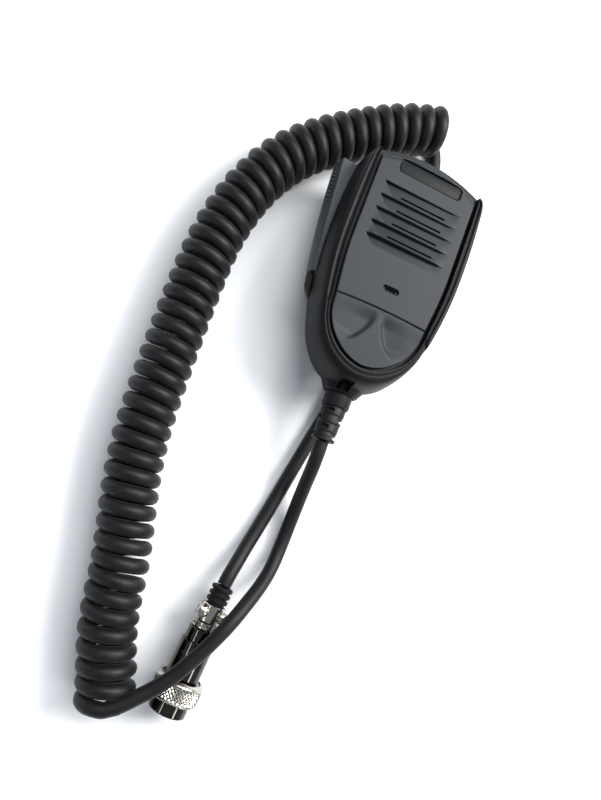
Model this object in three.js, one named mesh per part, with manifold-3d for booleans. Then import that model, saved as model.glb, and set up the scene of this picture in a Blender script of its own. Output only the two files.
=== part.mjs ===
// Hand microphone with a curly cord and a six-way screw plug, in millimetres.
// +X is to the right as the face is seen, +Y towards the handset's top, +Z out of the face.
// It lies on its back: the hang-up stud's end face, the coil and the plug's ring stand on z = 0.
import * as THREE from 'three';
import { mergeVertices } from 'three/addons/utils/BufferGeometryUtils.js';
import Module from 'manifold-3d';

const wasm = await Module();
wasm.setup();

// ---------------------------------------------------------------- driving dimensions
const GAP = 0.3;                 // clearance between neighbouring pieces
const WALL = 2.2;                // shell wall thickness

// casing outline, seen from the front
const HALF_WIDTH = 28.5;         // half the casing's width at the parting line
const HALF_LENGTH = 47.5;        // half the casing's length
const SHOULDER_Y = HALF_LENGTH - 8.5;    // where the sides meet the top corners
const SHOULDER_HALF = HALF_WIDTH - 1.9;  // half width at the shoulders
const CHIN_Y = -HALF_LENGTH + 17.5;      // where the sides turn into the round chin
const CHIN_HALF = HALF_WIDTH - 6.1;      // half width there
const TOP_DRAFT = 0.35;          // share of the side draft that the top end has

// heights
const STUD_REACH = 6.5;          // how far the stud stands behind the casing's back
const BACK_Z = STUD_REACH;       // casing's back face
const PARTING_Z = 20;            // joint between the front and rear shells
const FACE_Z = 35;               // outer face of the two face panels
const RAIL_Z = FACE_Z + 0.2;     // crest of the rails beside the panels
const PANEL_THICK = 2.4;
const SIDE_DRAFT = 2;            // how far the front shell's sides lean in up to its shoulder
const SHOULDER_DROP = 5.2;       // height of the rounded stretch between that shoulder and the crest

// face panels
const RAIL_WIDTH = 7.6;          // from the casing's widest line to the panels' edge
const PANEL_HALF = HALF_WIDTH - RAIL_WIDTH;
const PANEL_NARROW_Y = 8;        // the panels' sides start to draw in here
const PANEL_TOP_Y = HALF_LENGTH - 1.3;
const PANEL_CORNER_Y = HALF_LENGTH - 6.1;
const PANEL_TIP_Y = -HALF_LENGTH + 9.1;
const SPLIT_Y = PANEL_TIP_Y + 21.8;      // ends of the line between the two panels
const SPLIT_HALF = PANEL_HALF - 2.2;     // half width at that line
const SPLIT_RISE = 1.5;          // how far the line arches upwards in its middle
const GROOVE = 1;                // open groove between the panels and the rails
const LEDGE = 2;                 // width of the ledge that the panels sit on

// nameplate, louvres and microphone hole in the grille panel
const PLATE_Y = PANEL_TOP_Y - 5.6;
const PLATE_LENGTH = 26.4;
const PLATE_WIDTH = 4.9;
const PLATE_THICK = 0.5;
const SLOT_COUNT = 4;
const SLOT_LENGTH = 19.6;
const SLOT_WIDTH = 0.9;
const SLOT_RISE = 1.5;           // from a louvre's lower edge up to its slot
const LOUVRE_PITCH = 5.575;
const LOUVRE_HIGH_Y = PLATE_Y - 8.6;
const LOUVRE_LOW_Y = LOUVRE_HIGH_Y - SLOT_COUNT * LOUVRE_PITCH;
const LOUVRE_RUN = 4;            // height of a louvre, seen from the front
const LOUVRE_CREST = 0.9;        // its level stretch along the lower edge
const LOUVRE_HALF = 17;
const LOUVRE_DEPTH = 1.3;
const SCOOP_HEIGHT = 4.1;        // hollow below the last louvre
const MIC_Y = SPLIT_Y + 8.8;
const MIC_RECESS_LENGTH = 7.5;
const MIC_RECESS_WIDTH = 2.4;
const MIC_RECESS_DEPTH = 0.8;
const MIC_HOLE_R = 0.9;

// talk lever on the left side, turning about a pin that stands along Z
const LEVER_STANDS_OUT = 5.5;    // how far the lever stands out of the casing's side
const PTT_REACH = HALF_WIDTH + LEVER_STANDS_OUT;
const PTT_TOP_Y = SHOULDER_Y;
const PTT_LOW_Y = -8.5;
const PTT_LOW_Z = 14.5;
const PTT_HIGH_Z = 22.3;
const PTT_INNER_X = -HALF_WIDTH + 3.9;   // the lever's inner face
const PIVOT_X = -HALF_WIDTH + 3.3;
const PIVOT_Y = -5;
const PIN_R = 1;
const PIN_REACH = 3.5;           // how far the pin goes into each shell
const BOSS_R = 2.6;
const PTT_CLEARANCE = 0.6;       // between the lever and its slot in the shells
const FINGER_REACH = 1;          // length of the lever's finger towards the switch
const SPRING_R = 1.75;
const SPRING_LOW_Z = 17.5;
const SPRING_HIGH_Z = 19.3;
const SPRING_LEG = 8;
const SWITCH_Y = 18;
const SWITCH_HALF = 3;
const SWITCH_LENGTH = 6;
const SWITCH_HEIGHT = 5.6;
const PLUNGER_HALF = 0.9;
const PLUNGER_LENGTH = 3.4;
const PLUNGER_STROKE = 1.8;      // from the plunger's tip to the switch's face

// inner works
const BOARD_Z = 13.5;
const BOARD_THICK = 1.6;
const BOARD_HALF = HALF_WIDTH - 8.5;
const BOARD_LOW_Y = -HALF_LENGTH + 14.5;
const BOARD_DRAFT = 5.4;         // keeps the board clear of the rear shell's sloping walls
const CONNECTOR_Y = BOARD_LOW_Y + 10;
const CONNECTOR_LENGTH = 5.5;
const SPEAKER_Y = (LOUVRE_LOW_Y + LOUVRE_HIGH_Y) / 2 - 0.35;
const SPEAKER_R = 17.5;
const SPEAKER_LIP = 1;           // thickness of its flange
const MAGNET_R = 8.5;
const MAGNET_HEIGHT = 6.3;
const CONE_R = SPEAKER_R - 4.2;
const DOME_R = 3.5;
const GASKET_THICK = 0.7;
const CLOTH_THICK = 0.3;
const CAPSULE_R = 4.85;
const CAPSULE_HEIGHT = 6.5;
const CAPSULE_BOOT_WALL = 1.4;
const SCREW_R = 1.2;
const SCREW_HEAD_R = 2.4;
const SCREW_HEAD_HEIGHT = 1.8;
const SCREW_TOP_Z = 27;
const SCREW_COLUMN_R = 3.6;
const SCREW_HIGH_Y = HALF_LENGTH - 14;
const SCREW_LOW_Y = -HALF_LENGTH + 19.5;
const SCREW_LOW_X = HALF_WIDTH - 18;
const SCREW_PLACES = [
  [HALF_WIDTH - 11, SCREW_HIGH_Y], [-HALF_WIDTH + 12, SCREW_HIGH_Y],
  [SCREW_LOW_X, SCREW_LOW_Y], [-SCREW_LOW_X, SCREW_LOW_Y],
];

// hang-up stud
const STUD_Y = 14;
const STUD_HEAD_R = 7;
const STUD_HEAD_THICK = 2.4;
const STUD_NECK_R = 3.5;
const STUD_SINK_R = 3.1;         // hole that the screw's head sits in
const STUD_SINK_DEPTH = 2.1;
const STUD_SCREW_R = 1.3;
const STUD_SCREW_HEAD_R = 2.6;
const STUD_SCREW_TOP_Z = 12;

// cord
const CORD_R = 2.8;
const COIL_R = 10.7;             // outer radius of the curly stretch
const EXIT_Z = 19;               // height at which the cord leaves the casing
const BOOT_START_R = 5.5;
const BOOT_END_R = 4;
const BOOT_LENGTH = 20.5;
const BOOT_PLAIN = 7;            // length of its plain part before the ribs
const BOOT_RIBS = 4;
const BOOT_TAIL = WALL + 4.8;    // how far the boot reaches into the casing
const BOOT_COLLAR_R = BOOT_START_R + 1.1;  // flange inside the chin that keeps the boot from pulling out
const BOOT_COLLAR_THICK = 1.6;
const CHIN_BOSS_R = BOOT_START_R + 1.4;
const CHIN_BOSS_REACH = 1.5;     // how far the socket round the boot stands out of the chin
const INNER_CORD_START = 14;     // from the chin's end to the cut end of the jacket
const CLAMP_BAR_Y = -HALF_LENGTH + 10.2;
const CLAMP_BAR_HALF = 6.5;
const CLAMP_BAR_WIDTH = 3.5;
const CLAMP_BAR_THICK = 1.9;
const CLAMP_SCREW_X = 4.9;

// plug, measured along its own axis from the rear face of its cord clamp
const PLUG_X = -11.55;
const PLUG_Y = -139;
const PLUG_TURN = 0.0721;        // how far the plug's axis is turned from -Y towards -X
const RING_R = 9.25;
const RING_START = 27.9;
const RING_LENGTH = 8;
const SKIRT_R = 7.2;
const SKIRT_BORE_R = 6.1;
const SKIRT_END = 40.7;
const TUBE_FRONT_R = 6.4;
const TUBE_REAR_R = 5.6;
const TUBE_BORE_R = 4.2;
const TUBE_START = 9.5;
const TUBE_STEP = 14.2;
const COLLAR_R = 5;
const COLLAR_BORE_R = 3.4;
const CLAMP_LENGTH = 6.5;
const CLAMP_R = 4.9;
const STEM_R = 2.6;
const GROMMET_R = 4.2;
const GROMMET_WAIST_R = 3.5;
const GROMMET_LENGTH = 7.4;
const GROMMET_PITCH = 2.3;
const EAR_X = 4.2;               // from the axis to each clamp screw
const EAR_END = 5.6;
const EAR_THICK = 1.8;           // of the lower half's ears
const SADDLE_THICK = 3.6;
const EAR_HALF_LENGTH = 2.1;
const CLAMP_SCREW_R = 0.8;
const CLAMP_HEAD_R = 1.9;
const CLAMP_HEAD_HEIGHT = 1.3;
const EAR_Y = CLAMP_LENGTH / 2 + 0.05;
const CLAMP_SPLIT = 0.6;         // half the gap between the clamp's two halves
const INSERT_R = SKIRT_BORE_R - GAP;
const CONTACT_COUNT = 6;
const CONTACT_CIRCLE_R = 3.5;
const CONTACT_R = 1;
const CONTACT_BORE_R = 0.55;

// The handset's centre line stands to the right of the origin, so that the origin is in the
// middle of the handset with its talk lever.
const FACE_X = (PTT_REACH - HALF_WIDTH) / 2;
const FACE_Y = CHIN_BOSS_REACH / 2;

// Route of the uncoiled cord from the boot over the plug to the coil's lower end.
const HANDSET_RUN = [
  [2.75, -67.55, 19], [3, -72.5, 18.5], [3.6, -78, 16.2], [4.3, -84, 12.5], [5.1, -90.5, 8.6],
  [5.8, -97.5, 5.4], [6.1, -105, 3.7], [5.9, -112.5, 3.8], [4.9, -119.5, 5.8], [2.3, -126.7, 10],
  [-1.6, -134.2, 14.8], [-5.6, -141.9, 18.3], [-9.7, -149.9, 19.2], [-14.2, -158, 19.2],
  [-19.6, -166.3, 19.1], [-27.3, -174.6, 18.7],
];

// Axis of the curly stretch, from its lower end round to its upper end.
const COIL_AXIS = [
  [-36.8, -182], [-39.8, -173], [-43, -165], [-46, -156], [-48.2, -146], [-50.2, -135], [-53, -124],
  [-56, -113], [-58.6, -102], [-60.8, -89], [-62, -75], [-62.8, -60], [-63.4, -46], [-63.8, -32],
  [-63.9, -19], [-63.2, -6], [-61, 7], [-57.4, 19], [-52.4, 30], [-45.6, 40], [-37, 49],
  [-27.2, 57.4], [-16.8, 65.2], [-5.4, 72.2], [7, 77.4],
];

// Route of the tail from the coil's upper end, under the handset and on to the plug.
const PLUG_RUN = [
  [11.4, 68.6, 2.85], [12.6, 60, 2.85], [13.2, 50, 2.85], [13.7, 38, 2.85], [14.1, 26, 2.85],
  [14.1, 13, 2.85], [13.4, 0, 2.85], [12, -13, 2.85], [10.2, -26, 2.85], [8, -39, 2.85],
  [5.6, -51, 2.85], [3.2, -62.5, 2.85], [1, -74, 2.85], [-1.1, -85.5, 2.85], [-3.2, -97, 2.9],
  [-5.4, -107.5, 3.6], [-7.5, -116, 5.2], [-9.3, -123, 7.5], [-10.5, -128, 8.9], [-10.96, -131.3, 9.25],
];

// ---------------------------------------------------------------- finishes
function finish(color, roughness, metalness) {
  return new THREE.MeshStandardMaterial({ color, roughness, metalness });
}

const casePlastic = finish(0x3b4047, 0.55, 0);
const darkPlastic = finish(0x1c1d20, 0.5, 0);
const rubber = finish(0x202124, 0.7, 0);
const nickel = finish(0xc8c6c0, 0.2, 1);
const steel = finish(0x9a9ca0, 0.35, 1);
const brass = finish(0xc9a75a, 0.3, 1);
const boardGreen = finish(0x2f5a3c, 0.5, 0);
const phenolic = finish(0x2a211c, 0.6, 0);
const paper = finish(0x34312e, 0.9, 0);
const magnetGrey = finish(0x55575b, 0.6, 0.3);

// ---------------------------------------------------------------- solids
function solid(geometry) {
  const bare = geometry.clone();
  bare.deleteAttribute('normal');
  bare.deleteAttribute('uv');
  const merged = mergeVertices(bare, 1e-4);
  const corners = merged.index.array;
  const kept = [];
  for (let i = 0; i < corners.length; i += 3) {
    const [a, b, c] = [corners[i], corners[i + 1], corners[i + 2]];
    if (a !== b && b !== c && c !== a) kept.push(a, b, c);
  }
  const vertProperties = new Float32Array(merged.attributes.position.array);
  return new wasm.Manifold(new wasm.Mesh({ numProp: 3, vertProperties, triVerts: new Uint32Array(kept) }));
}

function fromSolid(manifold) {
  const { vertProperties, triVerts } = manifold.getMesh();
  const geometry = new THREE.BufferGeometry();
  geometry.setAttribute('position', new THREE.BufferAttribute(new Float32Array(vertProperties), 3));
  geometry.setIndex(new THREE.BufferAttribute(new Uint32Array(triVerts), 1));
  geometry.computeVertexNormals();
  return geometry;
}

const joined = (solids) => solids.reduce((whole, next) => whole.add(next));
const cut = (whole, solids) => solids.reduce((left, next) => left.subtract(next), whole);

// A closed body through rings of points at rising heights, the same number of points in each.
function loft(rings) {
  const count = rings[0].points.length;
  const positions = rings.flatMap(({ z, points }) => points.flatMap((p) => [p.x, p.y, z]));
  const index = [];
  for (let level = 0; level + 1 < rings.length; level += 1) {
    for (let i = 0; i < count; i += 1) {
      const a = level * count + i;
      const b = level * count + (i + 1) % count;
      index.push(a, b, b + count, a, b + count, a + count);
    }
  }
  const top = (rings.length - 1) * count;
  for (const [a, b, c] of THREE.ShapeUtils.triangulateShape(rings[0].points, [])) {
    index.push(a, c, b);
    index.push(top + a, top + b, top + c);
  }
  const geometry = new THREE.BufferGeometry();
  geometry.setAttribute('position', new THREE.Float32BufferAttribute(positions, 3));
  geometry.setIndex(index);
  return solid(geometry);
}

function block(x0, x1, y0, y1, z0, z1) {
  const geometry = new THREE.BoxGeometry(x1 - x0, y1 - y0, z1 - z0);
  return solid(geometry.translate((x0 + x1) / 2, (y0 + y1) / 2, (z0 + z1) / 2));
}

function prism(shape, z0, z1, curveSegments = 8) {
  const options = { depth: z1 - z0, bevelEnabled: false, curveSegments };
  const geometry = new THREE.ExtrudeGeometry(shape, options);
  return solid(geometry.translate(0, 0, z0));
}

// A turned solid about a line along Z, from a profile of [radius, height] that starts and ends on the axis.
function turnedZ(profile, x, y, segments = 20) {
  const points = profile.map(([r, h]) => new THREE.Vector2(r, h));
  return solid(new THREE.LatheGeometry(points, segments).rotateX(Math.PI / 2).translate(x, y, 0));
}

function postZ(radius, x, y, z0, z1, segments = 12) {
  return turnedZ([[0, z0], [radius, z0], [radius, z1], [0, z1]], x, y, segments);
}

// A turned solid about the Y axis.
function turnedY(profile, segments = 24) {
  return solid(new THREE.LatheGeometry(profile.map(([r, h]) => new THREE.Vector2(r, h)), segments));
}

function slotShape(length, width, x, y) {
  const r = width / 2;
  const half = length / 2 - r;
  const shape = new THREE.Shape();
  shape.moveTo(x - half, y - r);
  shape.lineTo(x + half, y - r);
  shape.absarc(x + half, y, r, -Math.PI / 2, Math.PI / 2, false);
  shape.lineTo(x - half, y + r);
  shape.absarc(x - half, y, r, Math.PI / 2, Math.PI * 1.5, false);
  return shape;
}

const handset = new THREE.Group();
handset.position.set(FACE_X, FACE_Y, 0);
const plug = new THREE.Group();
plug.position.set(PLUG_X, PLUG_Y, RING_R);
plug.rotation.z = Math.PI - PLUG_TURN;
const part = new THREE.Group();
part.add(handset, plug);

function place(group, name, manifold, material) {
  const mesh = new THREE.Mesh(fromSolid(manifold), material);
  mesh.name = name;
  group.add(mesh);
}

// ---------------------------------------------------------------- casing outline
// Right half of the outline from the middle of the top round to the chin; the left half mirrors it.
function casingOutline() {
  const side = new THREE.Path();
  side.moveTo(0, HALF_LENGTH);
  side.bezierCurveTo(
    SHOULDER_HALF * 0.35, HALF_LENGTH, SHOULDER_HALF * 0.66, SHOULDER_Y + 6.4,
    SHOULDER_HALF - 3.4, SHOULDER_Y + 4,
  );
  side.quadraticCurveTo(SHOULDER_HALF - 0.5, SHOULDER_Y + 2.8, SHOULDER_HALF, SHOULDER_Y);
  side.bezierCurveTo(HALF_WIDTH + 0.4, SHOULDER_Y - 14, HALF_WIDTH + 1.1, -2, CHIN_HALF + 1.9, CHIN_Y + 8);
  side.quadraticCurveTo(CHIN_HALF + 0.7, CHIN_Y + 4, CHIN_HALF - 0.6, CHIN_Y);
  side.bezierCurveTo(CHIN_HALF - 5, CHIN_Y - 11, CHIN_HALF * 0.45, -HALF_LENGTH, 0, -HALF_LENGTH);
  const right = side.getPoints(5);
  const widest = Math.max(...right.map((p) => p.x));
  right.forEach((p) => p.setX((p.x * HALF_WIDTH) / widest));
  const left = right.slice(1, -1).map((p) => new THREE.Vector2(-p.x, p.y)).reverse();
  return [...right, ...left].reverse();
}

const OUTLINE = casingOutline();

// The outline drawn in by a draft: all of it at the sides and chin, less at the top end.
function section(z, inset) {
  const points = OUTLINE.map((p) => {
    const drawn = p.y > 0 ? TOP_DRAFT * inset : inset;
    return new THREE.Vector2(p.x * (1 - inset / HALF_WIDTH), p.y * (1 - drawn / HALF_LENGTH));
  });
  return { z, points };
}

// The panels' outline, grown or shrunk by an amount all round.
function panelShape(grow) {
  const shape = new THREE.Shape();
  const top = PANEL_TOP_Y + grow;
  const corner = PANEL_CORNER_Y + grow;
  const half = PANEL_HALF + grow;
  const split = SPLIT_HALF + grow;
  const tip = PANEL_TIP_Y - grow;
  shape.moveTo(0, top);
  shape.bezierCurveTo(-half * 0.4, top, -half * 0.75, corner + 1.6, -half, corner);
  shape.lineTo(-half, PANEL_NARROW_Y);
  shape.bezierCurveTo(-half, -4, -split - 0.6, -12, -split, SPLIT_Y - 2);
  shape.bezierCurveTo(-split, tip + 9, -split * 0.5, tip, 0, tip);
  shape.bezierCurveTo(split * 0.5, tip, split, tip + 9, split, SPLIT_Y - 2);
  shape.bezierCurveTo(split + 0.6, -12, half, -4, half, PANEL_NARROW_Y);
  shape.lineTo(half, corner);
  shape.bezierCurveTo(half * 0.75, corner + 1.6, half * 0.4, top, 0, top);
  return shape;
}

// Everything above the arched line between the two panels.
function aboveSplit(offset) {
  const reach = HALF_WIDTH + 5;
  const shape = new THREE.Shape();
  shape.moveTo(-reach, SPLIT_Y + offset - SPLIT_RISE);
  shape.quadraticCurveTo(0, SPLIT_Y + offset + 2 * SPLIT_RISE, reach, SPLIT_Y + offset - SPLIT_RISE);
  shape.lineTo(reach, HALF_LENGTH + 5);
  shape.lineTo(-reach, HALF_LENGTH + 5);
  return shape;
}

// The opening in the left wall that the talk lever moves in, with room for its stroke.
const leverSlot = () => block(
  -PTT_REACH - 5, PTT_INNER_X + 2.5, PTT_LOW_Y - PTT_CLEARANCE, PTT_TOP_Y + 2 * PTT_CLEARANCE,
  PTT_LOW_Z - PTT_CLEARANCE, PTT_HIGH_Z + PTT_CLEARANCE,
);

// A round bar along Y on the cord's exit line, between two places measured from the chin's end.
function chinBar(radius, from, to) {
  const geometry = new THREE.CylinderGeometry(radius, radius, to - from, 24);
  return solid(geometry.translate(0, -HALF_LENGTH + (from + to) / 2, EXIT_Z));
}

const chinBoss = () => chinBar(CHIN_BOSS_R, -CHIN_BOSS_REACH, 4);
const chinHole = () => chinBar(BOOT_START_R + GAP, -10, 10);

// ---------------------------------------------------------------- shells
const panelBackZ = FACE_Z - PANEL_THICK;
const panelFloorZ = panelBackZ - GAP;
const shoulderZ = RAIL_Z - SHOULDER_DROP;
const leverRoof = PTT_HIGH_Z + PTT_CLEARANCE;
const leverFloor = PTT_LOW_Z - PTT_CLEARANCE;
const frontLow = PARTING_Z + GAP / 2;
const rearHigh = PARTING_Z - GAP / 2;
const pinRoom = PIN_REACH + 0.5;

function makeFrontShell() {
  const outside = loft([
    section(frontLow, 0), section(shoulderZ, SIDE_DRAFT), section(RAIL_Z - 2.7, SIDE_DRAFT + 0.7),
    section(RAIL_Z - 0.9, SIDE_DRAFT + 1.8), section(RAIL_Z, SIDE_DRAFT + 3.2),
  ]);
  const inside = loft([
    section(PARTING_Z - 1, WALL), section(shoulderZ - 0.2, SIDE_DRAFT + WALL),
    section(Math.max(panelFloorZ - WALL, shoulderZ), 2 * SIDE_DRAFT + WALL),
  ]);
  const seat = prism(panelShape(GROOVE), panelFloorZ, FACE_Z + 5);
  const topGap = block(
    -PANEL_HALF - GROOVE, PANEL_HALF + GROOVE, PANEL_CORNER_Y - 1, HALF_LENGTH + 5, panelFloorZ, FACE_Z + 5,
  );
  const window = prism(panelShape(-LEDGE), panelFloorZ - 2 * WALL, FACE_Z);
  const columns = SCREW_PLACES.map(([x, y]) => postZ(SCREW_COLUMN_R, x, y, frontLow, panelFloorZ - WALL / 2));
  const pinBoss = postZ(BOSS_R, PIVOT_X, PIVOT_Y, leverRoof, panelFloorZ - WALL);
  const wallBehindPin = block(
    -HALF_WIDTH + WALL / 2, PIVOT_X, PIVOT_Y - 1, PIVOT_Y + 1, leverRoof, shoulderZ - 1,
  );
  const posts = joined([pinBoss, wallBehindPin, ...columns]).intersect(outside);
  const holes = SCREW_PLACES.map(([x, y]) => postZ(SCREW_R + GAP, x, y, PARTING_Z - 1, SCREW_TOP_Z + GAP));
  const pinHole = postZ(PIN_R + GAP, PIVOT_X, PIVOT_Y, PTT_HIGH_Z, PTT_HIGH_Z + pinRoom);
  const boss = chinBoss().intersect(block(-20, 20, -90, 0, frontLow, 60));
  const shell = cut(outside.add(boss), [inside]).add(posts);
  return cut(shell, [seat, topGap, window, leverSlot(), chinHole(), pinHole, ...holes]);
}

// Heights of the rear shell's sections, and how far each is drawn in.
const BACK_LEVELS = [
  [BACK_Z, 9], [BACK_Z + 0.7, 6.4], [BACK_Z + 2.5, 4], [BACK_Z + 5.5, 2], [PARTING_Z - 4, 0.6], [rearHigh, 0],
];

function makeRearShell() {
  const outside = loft(BACK_LEVELS.map(([z, inset]) => section(z, inset)));
  const inside = loft([
    section(BACK_Z + WALL, 6.2 + WALL), section(BACK_Z + 5.5, 2.2 + WALL), section(PARTING_Z - 4, 0.6 + WALL),
    section(PARTING_Z + 1, WALL),
  ]);
  const columns = SCREW_PLACES.map(([x, y]) => postZ(SCREW_COLUMN_R, x, y, BACK_Z + WALL / 2, BOARD_Z - GAP));
  const studBoss = postZ(STUD_NECK_R + 1, 0, STUD_Y, BACK_Z + WALL / 2, STUD_SCREW_TOP_Z + 1);
  const pinBoss = postZ(BOSS_R, PIVOT_X, PIVOT_Y, BACK_Z + 2.5, leverFloor);
  const wallBehindPin = block(
    -HALF_WIDTH + WALL / 2, PIVOT_X, PIVOT_Y - 1, PIVOT_Y + 1, BACK_Z + 4.5, leverFloor,
  );
  const posts = joined([studBoss, pinBoss, wallBehindPin, ...columns]).intersect(outside);
  const headRoom = BACK_Z + GAP + SCREW_HEAD_HEIGHT + GAP;
  const holes = SCREW_PLACES.map(([x, y]) => turnedZ([
    [0, BACK_Z - 1], [SCREW_HEAD_R + GAP, BACK_Z - 1], [SCREW_HEAD_R + GAP, headRoom],
    [SCREW_R + GAP, headRoom], [SCREW_R + GAP, PARTING_Z], [0, PARTING_Z],
  ], x, y));
  const studHole = postZ(STUD_SCREW_R + GAP, 0, STUD_Y, BACK_Z - 1, STUD_SCREW_TOP_Z + 0.5);
  const pinHole = postZ(PIN_R + GAP, PIVOT_X, PIVOT_Y, PTT_LOW_Z - pinRoom, PTT_LOW_Z);
  const boss = chinBoss().intersect(block(-20, 20, -90, 0, 0, rearHigh));
  const shell = cut(outside.add(boss), [inside]).add(posts);
  return cut(shell, [leverSlot(), chinHole(), studHole, pinHole, ...holes]);
}

place(handset, 'front_shell', makeFrontShell(), casePlastic);
place(handset, 'rear_shell', makeRearShell(), casePlastic);

// ---------------------------------------------------------------- face panels
// One sloping louvre, highest along its lower edge, which is at the given height.
function louvre(y) {
  const shape = new THREE.Shape();
  shape.moveTo(y, 0);
  shape.lineTo(y + LOUVRE_RUN, 0);
  shape.lineTo(y + LOUVRE_CREST, LOUVRE_DEPTH);
  shape.lineTo(y, LOUVRE_DEPTH);
  const geometry = new THREE.ExtrudeGeometry(shape, { depth: 2 * LOUVRE_HALF, bevelEnabled: false });
  geometry.rotateX(Math.PI / 2).rotateZ(Math.PI / 2);
  return solid(geometry.translate(-LOUVRE_HALF, 0, FACE_Z - LOUVRE_DEPTH));
}

function makeGrillePanel() {
  const upperHalf = prism(aboveSplit(GAP), panelBackZ, FACE_Z);
  const plate = prism(panelShape(0), panelBackZ, FACE_Z).intersect(upperHalf);
  const well = block(
    -LOUVRE_HALF, LOUVRE_HALF, LOUVRE_LOW_Y - SCOOP_HEIGHT, LOUVRE_HIGH_Y, FACE_Z - LOUVRE_DEPTH, FACE_Z + 1,
  );
  const recessShape = slotShape(PLATE_LENGTH + 2 * GAP, PLATE_WIDTH + 2 * GAP, 0, PLATE_Y);
  const nameRecess = prism(recessShape, FACE_Z - PLATE_THICK - GAP, FACE_Z + 1);
  const mouthShape = slotShape(MIC_RECESS_LENGTH, MIC_RECESS_WIDTH, 0, MIC_Y);
  const micRecess = prism(mouthShape, FACE_Z - MIC_RECESS_DEPTH, FACE_Z + 1);
  const micHole = postZ(MIC_HOLE_R, 0, MIC_Y, panelBackZ - 1, FACE_Z + 1, 12);
  const ribs = [];
  const slots = [];
  for (let i = 0; i < SLOT_COUNT; i += 1) {
    const edge = LOUVRE_LOW_Y + LOUVRE_PITCH * i;
    ribs.push(louvre(edge));
    slots.push(prism(slotShape(SLOT_LENGTH, SLOT_WIDTH, 0, edge + SLOT_RISE), panelBackZ - 1, FACE_Z + 1));
  }
  const ribbed = cut(plate, [well]).add(joined(ribs).intersect(well));
  return cut(ribbed, [nameRecess, micRecess, micHole, ...slots]);
}

// The lower panel has a dished hollow on each side of a keel that widens downwards.
function makeLowerPanel() {
  const upperHalf = prism(aboveSplit(-GAP), panelBackZ - 1, FACE_Z + 1);
  const plate = prism(panelShape(0), panelBackZ, FACE_Z).subtract(upperHalf);
  const dishes = [-1, 1].map((side) => {
    const ball = new THREE.SphereGeometry(1, 20, 10).scale(7.4, 10.5, 2.6);
    return solid(ball.rotateZ(side * 0.35).translate(side * 9.2, SPLIT_Y - 6.5, FACE_Z + 1.2));
  });
  return cut(plate, dishes);
}

place(handset, 'grille_panel', makeGrillePanel(), casePlastic);
place(handset, 'lower_panel', makeLowerPanel(), casePlastic);

const plateShape = slotShape(PLATE_LENGTH, PLATE_WIDTH, 0, PLATE_Y);
place(handset, 'blank_name_plate', prism(plateShape, FACE_Z - PLATE_THICK, FACE_Z), darkPlastic);

// ---------------------------------------------------------------- talk lever and switch
const fingerX = PTT_INNER_X + FINGER_REACH;

function makeLever() {
  const shape = new THREE.Shape();
  shape.moveTo(PTT_INNER_X, PTT_TOP_Y - 0.6);
  shape.lineTo(-PTT_REACH + 2, PTT_TOP_Y);
  shape.quadraticCurveTo(-PTT_REACH, PTT_TOP_Y, -PTT_REACH, PTT_TOP_Y - 2);
  shape.quadraticCurveTo(-PTT_REACH + 1.2, 14, -HALF_WIDTH - 0.5, PTT_LOW_Y + 1.5);
  shape.quadraticCurveTo(-HALF_WIDTH - 0.2, PTT_LOW_Y, -HALF_WIDTH + 1, PTT_LOW_Y);
  shape.lineTo(PIVOT_X - 1, PTT_LOW_Y);
  shape.lineTo(PTT_INNER_X, PIVOT_Y + 4);
  const body = prism(shape, PTT_LOW_Z, PTT_HIGH_Z);
  const boss = postZ(BOSS_R, PIVOT_X, PIVOT_Y, PTT_LOW_Z, PTT_HIGH_Z);
  const skin = 1.5;
  const [coreLow, coreHigh] = [PTT_LOW_Z + skin, PTT_HIGH_Z - skin];
  const finger = block(PTT_INNER_X - 1, fingerX, SWITCH_Y - skin, SWITCH_Y + skin, coreLow, coreHigh);
  const hollow = block(-PTT_REACH + 3.4, PTT_INNER_X + 1, SWITCH_Y + 4, PTT_TOP_Y - 3, coreLow, coreHigh);
  const springRoom = block(
    PIVOT_X - SPRING_R - 0.15, PTT_INNER_X + 3, PIVOT_Y - SPRING_R - 0.25, PIVOT_Y + SPRING_LEG + 1,
    SPRING_LOW_Z - GAP, SPRING_HIGH_Z + GAP,
  );
  const pinHole = postZ(PIN_R + 0.1, PIVOT_X, PIVOT_Y, PTT_LOW_Z - 1, PTT_HIGH_Z + 1);
  return cut(joined([body, boss, finger]), [hollow, springRoom, pinHole]);
}

function makeLeverSpring() {
  const wire = 0.4;
  const inner = SPRING_R - wire;
  const coil = turnedZ([
    [inner, SPRING_LOW_Z], [SPRING_R, SPRING_LOW_Z], [SPRING_R, SPRING_HIGH_Z], [inner, SPRING_HIGH_Z],
    [inner, SPRING_LOW_Z],
  ], PIVOT_X, PIVOT_Y);
  const legZ = (SPRING_LOW_Z + SPRING_HIGH_Z) / 2;
  const legX = PIVOT_X + inner + 0.05;
  const leg = block(legX, legX + wire, PIVOT_Y, PIVOT_Y + SPRING_LEG, legZ - wire / 2, legZ + wire / 2);
  return coil.add(leg);
}

const hingePin = postZ(PIN_R, PIVOT_X, PIVOT_Y, PTT_LOW_Z - PIN_REACH, PTT_HIGH_Z + PIN_REACH);
place(handset, 'ptt_lever', makeLever(), casePlastic);
place(handset, 'ptt_hinge_pin', hingePin, steel);
place(handset, 'ptt_return_spring', makeLeverSpring(), steel);

const plungerX = fingerX + GAP;
const plungerEnd = plungerX + PLUNGER_LENGTH;
const switchX = plungerX + PLUNGER_STROKE;
const boardTopZ = BOARD_Z + BOARD_THICK + GAP;
const plungerZ = boardTopZ + SWITCH_HEIGHT / 2 + 0.1;

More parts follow.
